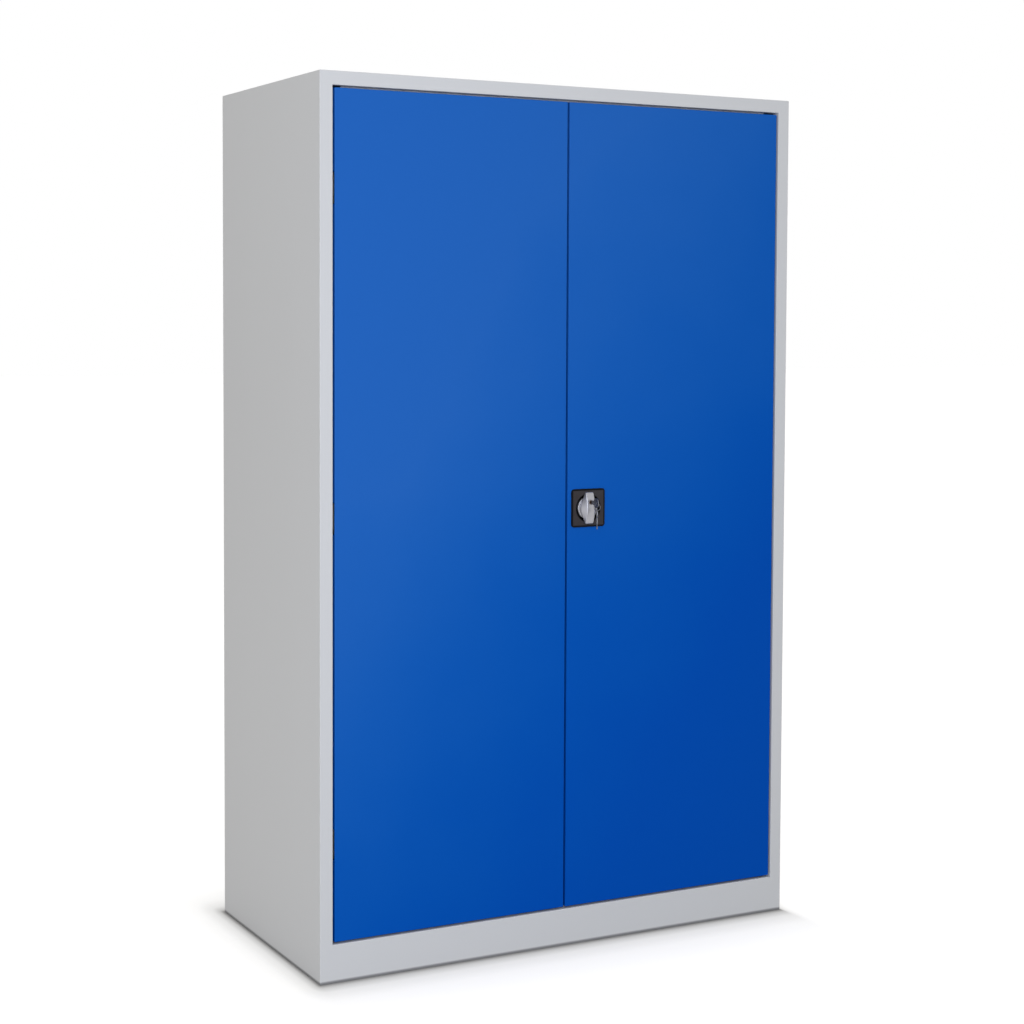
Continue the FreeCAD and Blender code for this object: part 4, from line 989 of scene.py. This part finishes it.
class CABINET_OT_keys(Operator):
    """Makes both keys and their split ring"""

    bl_idname = "cabinet.keys"
    bl_label = "Keys"

    hole_offset = 4.5 * mm
    neck_length = 11 * mm
    throat_length = 3.2 * mm
    collar_height = 0.9 * mm
    collar_step = 1.2 * mm
    collar_spread = 1.25
    bevel = 0.25 * mm
    spare_twist = math.radians(25)
    insert_length = 14 * mm
    cuts = (0.55, 1.0, 0.35, 0.8)
    cut_depth = 1.6 * mm
    cut_pitch = 2.7 * mm
    cut_flat = 0.3 * mm
    nose = 1.6 * mm
    field_shift = 3.2 * mm
    field_half = (5.2 * mm, 7.6 * mm)
    field_depth = 0.22 * mm
    groove_lead = 5 * mm
    groove_run = 8 * mm
    groove_depth = 0.5 * mm
    front_groove = (0.5 * mm, 1.7 * mm)
    rear_groove = (-1.2 * mm, 0)
    ring_radius = 8 * mm
    packed_wire = 0.8 * mm
    hang_gap = 0.55 * mm
    wire = Vector((0.55 * mm, 0.38 * mm))

    def execute(self, context):
        settings = context.scene.cabinet_keys
        low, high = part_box("key_ring")
        ring_middle = (low + high) / 2
        drop = settings.hole_radius - self.packed_wire - self.hang_gap
        hole = Vector((lock_middle.x, ring_middle.y, ring_middle.z + self.ring_radius + drop))
        hanging = Vector((hole.x, hole.y, hole.z - 2 * drop - 2 * self.ring_radius))
        level = Matrix(((0, 0, 1), (1, 0, 0), (0, 1, 0))).to_4x4()
        upright = Matrix(((0, 0, 1), (0, 1, 0), (-1, 0, 0))).to_4x4()
        upright = Matrix.Rotation(-self.spare_twist, 4, "Z") @ upright
        for node, spot, turn in (("key", hole, level), ("spare_key", hanging, upright)):
            made = self.key(node + "_cut", settings)
            made.data.transform(Matrix.Translation(spot) @ turn)
            fitted(made, node, "key_metal")
        self.split_ring(settings, ring_middle)
        return {"FINISHED"}

    def key(self, name, settings):
        """Key along X with its hole at the origin: outline with bevelled edges, hollowed bow and
        milled grooves."""
        curve = bpy.data.curves.new(name, "CURVE")
        curve.dimensions = "2D"
        curve.fill_mode = "BOTH"
        curve.extrude = settings.thickness / 2 - self.bevel
        curve.bevel_depth = self.bevel
        curve.bevel_resolution = 2
        curve.offset = -self.bevel
        for outline in (self.outline(settings), self.hole(settings)):
            spline = curve.splines.new("POLY")
            spline.points.add(len(outline) - 1)
            for point, (x, y) in zip(spline.points, outline):
                point.co = (x, y, 0, 1)
            spline.use_cyclic_u = True
        made = bpy.data.objects.new(name, curve)
        bpy.context.scene.collection.objects.link(made)
        graph = bpy.context.evaluated_depsgraph_get()
        mesh = bpy.data.meshes.new_from_object(made.evaluated_get(graph))
        bpy.data.objects.remove(made)
        net = bmesh.new()
        net.from_mesh(mesh)
        bmesh.ops.remove_doubles(net, verts=net.verts, dist=weld)
        bmesh.ops.recalc_face_normals(net, faces=net.faces)
        made = object_from(name, net, 30)
        combined(made, self.milling(settings))
        shade(made, 30)
        return made

    def outline(self, settings):
        """Bow, shoulder and blade with its cuts, as one closed line."""
        bow, half = settings.bow_radius, settings.blade_width / 2
        collar = half + self.collar_height
        shoulder = self.hole_offset + bow + self.neck_length - self.collar_step
        end = shoulder + self.collar_step + self.insert_length
        opening = math.asin(collar / bow) * self.collar_spread
        turns = [opening + (full_turn - 2 * opening) * step / 56 for step in range(57)]
        points = [Vector((self.hole_offset + bow * math.cos(a), bow * math.sin(a))) for a in turns]
        throat = self.hole_offset + bow * math.cos(opening) + self.throat_length
        points += [Vector((throat, -collar)), Vector((shoulder, -collar)), Vector((shoulder, -half))]
        for place, share in enumerate(self.cuts):
            middle = end - self.insert_length + self.cut_pitch * (place + 0.5)
            deep, flat = self.cut_depth * share, self.cut_flat
            points += [Vector((middle - deep - flat, -half)), Vector((middle - flat, deep - half)),
                       Vector((middle + flat, deep - half)), Vector((middle + deep + flat, -half))]
        nose = self.nose
        points += [Vector((end - nose, -half)), Vector((end, nose - half)), Vector((end, half - nose)),
                   Vector((end - nose, half)), Vector((shoulder, half)), Vector((shoulder, collar)),
                   Vector((throat, collar))]
        return points

    def hole(self, settings):
        """Hole for the ring, as one closed line."""
        radius = settings.hole_radius
        angles = [full_turn * step / 32 for step in range(32)]
        return [Vector((radius * math.cos(a), radius * math.sin(a))) for a in angles]

    def milling(self, settings):
        """Cutters: a shallow round field on both sides of the bow and a groove on both sides of the blade."""
        half = settings.thickness / 2
        start = self.hole_offset + settings.bow_radius + self.neck_length - self.groove_lead
        end = start + self.insert_length + self.groove_run
        (front_low, front_high), (rear_low, rear_high) = self.front_groove, self.rear_groove
        tools = [
            brick("groove", (start, front_low, half - self.groove_depth), (end, front_high, half + overrun)),
            brick("groove", (start, rear_low, -half - overrun), (end, rear_high, self.groove_depth - half)),
        ]
        angles = [full_turn * step / 48 for step in range(48)]
        half_x, half_y = self.field_half
        outline = [(self.hole_offset + self.field_shift + half_x * math.cos(a), half_y * math.sin(a))
                   for a in angles]
        for side in (-1, 1):
            near, far = side * (half - self.field_depth), side * (half + overrun)
            rings = [[Vector((x, y, z)) for x, y in outline] for z in (near, far)]
            tools.append(skin("field", [rings]))
        return tools

    def split_ring(self, settings, middle):
        """Flat wire wound in turns that lie side by side. It steps across where it crosses over, and
        its ends stop short of each other. Angles are in degrees."""
        count = 64
        gap = 20
        turned = 20
        lane = 2.1 * self.wire.y
        rings = []
        for step in range(int(settings.ring_turns * count - 2 * gap * count / 360) + 1):
            angle = gap + 360 * step / count
            lanes = 0
            for crossing in range(1, settings.ring_turns):
                share = min(1, max(0, (angle - (360 * crossing - gap)) / (2 * gap)))
                lanes += share * share * (3 - 2 * share)
            y = (lanes - (settings.ring_turns - 1) / 2) * lane
            turn = math.radians(angle + turned)
            out = Vector((math.cos(turn), 0, math.sin(turn)))
            spot = middle + out * self.ring_radius + Vector((0, y, 0))
            rings.append([spot + out * self.wire.x * math.cos(full_turn * k / 12)
                          + Vector((0, self.wire.y * math.sin(full_turn * k / 12), 0)) for k in range(12)])
        made = skin("key_ring_wound", [rings], 50)
        fitted(made, "key_ring", "key_metal")


class CABINET_OT_buffers(Operator):
    """Makes the rubber door stops"""

    bl_idname = "cabinet.buffers"
    bl_label = "Door stops"

    rim = 0.6 * mm

    def execute(self, context):
        groups = []
        for low, high in islands("door_buffers"):
            radius = (high.x - low.x) / 2
            front = dome(radius, high.y - self.rim, low.y - high.y + self.rim)[::-1]
            groups.append(turned_y(front + [(radius, high.y)], (low + high) / 2))
        fitted(skin("door_stops_domed", groups), "door_buffers")
        return {"FINISHED"}


class CABINET_OT_stage(Operator):
    """Sets the pale floor, soft light and camera"""

    bl_idname = "cabinet.stage"
    bl_label = "Stage"

    floor_half = 40
    floor_colour = (0.365, 0.355, 0.342, 1)
    # Painted shadow on the floor: how its glow grows with distance from the cabinet's foot, places in metres.
    shadow_stops = ((0.003, 0), (0.018, 0.36), (0.048, 0.67), (0.11, 0.87), (0.24, 1))
    lens = 70.566
    shift = (-0.02354, -0.09123)
    camera_place = (-2.21873, -4.23942, 1.43887)
    camera_turn = (0.497347, -0.0516385, 0.00517719)
    key_place, key_target, key_size = (-1.7, -3.7, 1.7), (0.0, -0.3, 1.1), 2.4
    side_place, side_target, side_size = (-3.6, -1.6, 1.4), (-0.6, 0.0, 1.0), 2.0
    key_tint = (0.81, 0.87, 1.0)
    side_tint = (1.0, 0.98, 0.94)
    sky_colour = (1, 0.995, 0.97, 1)
    dusk_side = (-0.94, -0.34, 0)
    dusk_share = 0.7
    right_count = 6
    left_count = 2

    def execute(self, context):
        settings = context.scene.cabinet_stage
        self.floor(settings)
        self.sky(context.scene, settings)
        self.lamp("key_lamp", self.key_place, self.key_target, self.key_size,
                  settings.key_power, self.key_tint)
        side = self.lamp("side_lamp", self.side_place, self.side_target, self.side_size,
                         settings.side_power, self.side_tint)
        side.visible_glossy = False
        self.camera(context.scene)
        context.scene.view_settings.view_transform = "Standard"
        return {"FINISHED"}

    def floor(self, settings):
        """Large pale floor that keeps the shadow and looks white; its glow fades close to the cabinet's foot,
        which lays a painted shadow over the real one.
        """
        net = bmesh.new()
        bmesh.ops.create_grid(net, x_segments=4, y_segments=4, size=self.floor_half)
        made = object_from("floor", net)
        material, shader = new_shader("floor_white")
        camera, gloss, through = self.rays(shader)
        seen = shader.maths("MINIMUM", camera + gloss + through, 1)
        # Painted shadow: the floor's glow fades towards the cabinet's foot.
        away = shader.ramp(self.apart(shader), *self.shadow_stops)
        near, far = ((value,) * 3 + (1,) for value in (settings.contact_glow, settings.floor_glow))
        shader.surface({
            "Base Color": self.floor_colour,
            "Roughness": 0.9,
            "Specular IOR Level": 0.1,
            "Emission Color": shader.mixed(seen, (0, 0, 0, 1), shader.mixed(away, near, far)),
            "Emission Strength": 1,
        })
        made.data.materials.append(material)

    def rays(self, shader):
        """Whether a ray comes straight from the camera, off a glossy face or through a clear one."""
        return [shader.node("LightPath", {}, {}, "Is " + kind + " Ray")
                for kind in ("Camera", "Glossy", "Transmission")]

    def apart(self, shader):
        """Distance of a point of the floor from the cabinet's foot, in metres; it counts more beside
        the cabinet, where the painted shadow ends sooner."""
        place = shader.place()
        across, along = (shader.node("SeparateXYZ", {}, {0: place}, end) for end in ("X", "Y"))
        left = self.left_count * (cad_box[0][0] - across)
        right = self.right_count * (across - cad_box[1][0])
        beside = shader.maths("MAXIMUM", shader.maths("MAXIMUM", left, right), 0)
        beyond = shader.maths("MAXIMUM", shader.maths("ABSOLUTE", along) - cad_box[1][1], 0)
        return shader.maths("SQRT", beside * beside + beyond * beyond)

    def sky(self, scene, settings):
        """Even light all round; the camera sees plain white, and gloss sees it too but for a grey
        side of the room in front and to the left."""
        scene.world = scene.world or bpy.data.worlds.new("studio")
        shader = Shader(scene.world)
        camera, gloss, through = self.rays(shader)
        seen = shader.maths("MINIMUM", camera + gloss + through, 1)
        ahead = shader.node("TexCoord", {}, {}, "Generated")
        side = shader.node("VectorMath", {"operation": "DOT_PRODUCT"}, {0: ahead, 1: self.dusk_side}, "Value")
        dusk = shader.ramp(side, (0.2, 0), (0.8, 1))
        light = shader.node("Background", {}, {"Color": self.sky_colour, "Strength": settings.sky})
        shown = 1 - gloss * dusk * self.dusk_share
        white = shader.node("Background", {}, {"Color": (1, 1, 1, 1), "Strength": shown})
        both = shader.node("MixShader", {}, {0: seen, 1: light, 2: white})
        shader.node("OutputWorld", {}, {"Surface": both})

    def lamp(self, name, place, target, size, power, colour):
        """Square soft lamp turned towards a point."""
        data = bpy.data.lights.new(name, "AREA")
        data.size = size
        data.energy = power
        data.color = colour
        made = bpy.data.objects.new(name, data)
        made.location = place
        made.rotation_euler = (Vector(target) - Vector(place)).to_track_quat("-Z", "Y").to_euler()
        bpy.context.scene.collection.objects.link(made)
        return made

    def camera(self, scene):
        """Camera of the photograph."""
        data = bpy.data.cameras.new("camera")
        data.sensor_width = 36
        data.lens = self.lens
        data.shift_x, data.shift_y = self.shift
        data.clip_end = 100
        made = bpy.data.objects.new("camera", data)
        yaw, pitch, roll = self.camera_turn
        ahead = Vector((math.sin(yaw) * math.cos(pitch), math.cos(yaw) * math.cos(pitch), math.sin(pitch)))
        level = Vector((math.cos(yaw), -math.sin(yaw), 0))
        upright = level.cross(ahead)
        right = level * math.cos(roll) + upright * math.sin(roll)
        top = upright * math.cos(roll) - level * math.sin(roll)
        turn = Matrix((right, top, -ahead)).transposed().to_4x4()
        made.matrix_world = Matrix.Translation(self.camera_place) @ turn
        scene.collection.objects.link(made)
        scene.camera = made


class CABINET_PT_panel(Panel):
    """Lists the steps of the cabinet"""

    bl_idname = "CABINET_PT_panel"
    bl_label = "Tool cabinet"
    bl_space_type = "VIEW_3D"
    bl_region_type = "UI"
    bl_category = "Cabinet"

    def draw(self, context):
        for step in steps:
            self.layout.operator(step.bl_idname)
        for name in settings_of:
            holder = getattr(context.scene, name)
            for entry in holder.__annotations__:
                self.layout.prop(holder, entry)


steps = (CABINET_OT_stage, CABINET_OT_carcass, CABINET_OT_doors, CABINET_OT_hinge_pins, CABINET_OT_lock_plate,
         CABINET_OT_turn_handle, CABINET_OT_lock_works, CABINET_OT_keys, CABINET_OT_buffers)
settings_of = {
    "cabinet_paint": PaintSettings,
    "cabinet_metal": MetalSettings,
    "cabinet_moulded": MouldedSettings,
    "cabinet_handle": HandleSettings,
    "cabinet_keys": KeySettings,
    "cabinet_stage": StageSettings,
}


def register():
    """Registers settings, steps and panel."""
    for name, group in settings_of.items():
        bpy.utils.register_class(group)
        setattr(bpy.types.Scene, name, PointerProperty(type=group))
    for step in steps:
        bpy.utils.register_class(step)
    bpy.utils.register_class(CABINET_PT_panel)


def unregister():
    """Removes what register added."""
    bpy.utils.unregister_class(CABINET_PT_panel)
    for step in reversed(steps):
        bpy.utils.unregister_class(step)
    for name, group in settings_of.items():
        delattr(bpy.types.Scene, name)
        bpy.utils.unregister_class(group)


def main():
    """Runs every step."""
    register()
    for step in steps:
        family, name = step.bl_idname.split(".")
        getattr(getattr(bpy.ops, family), name)()


if __name__ == "__main__":
    main()
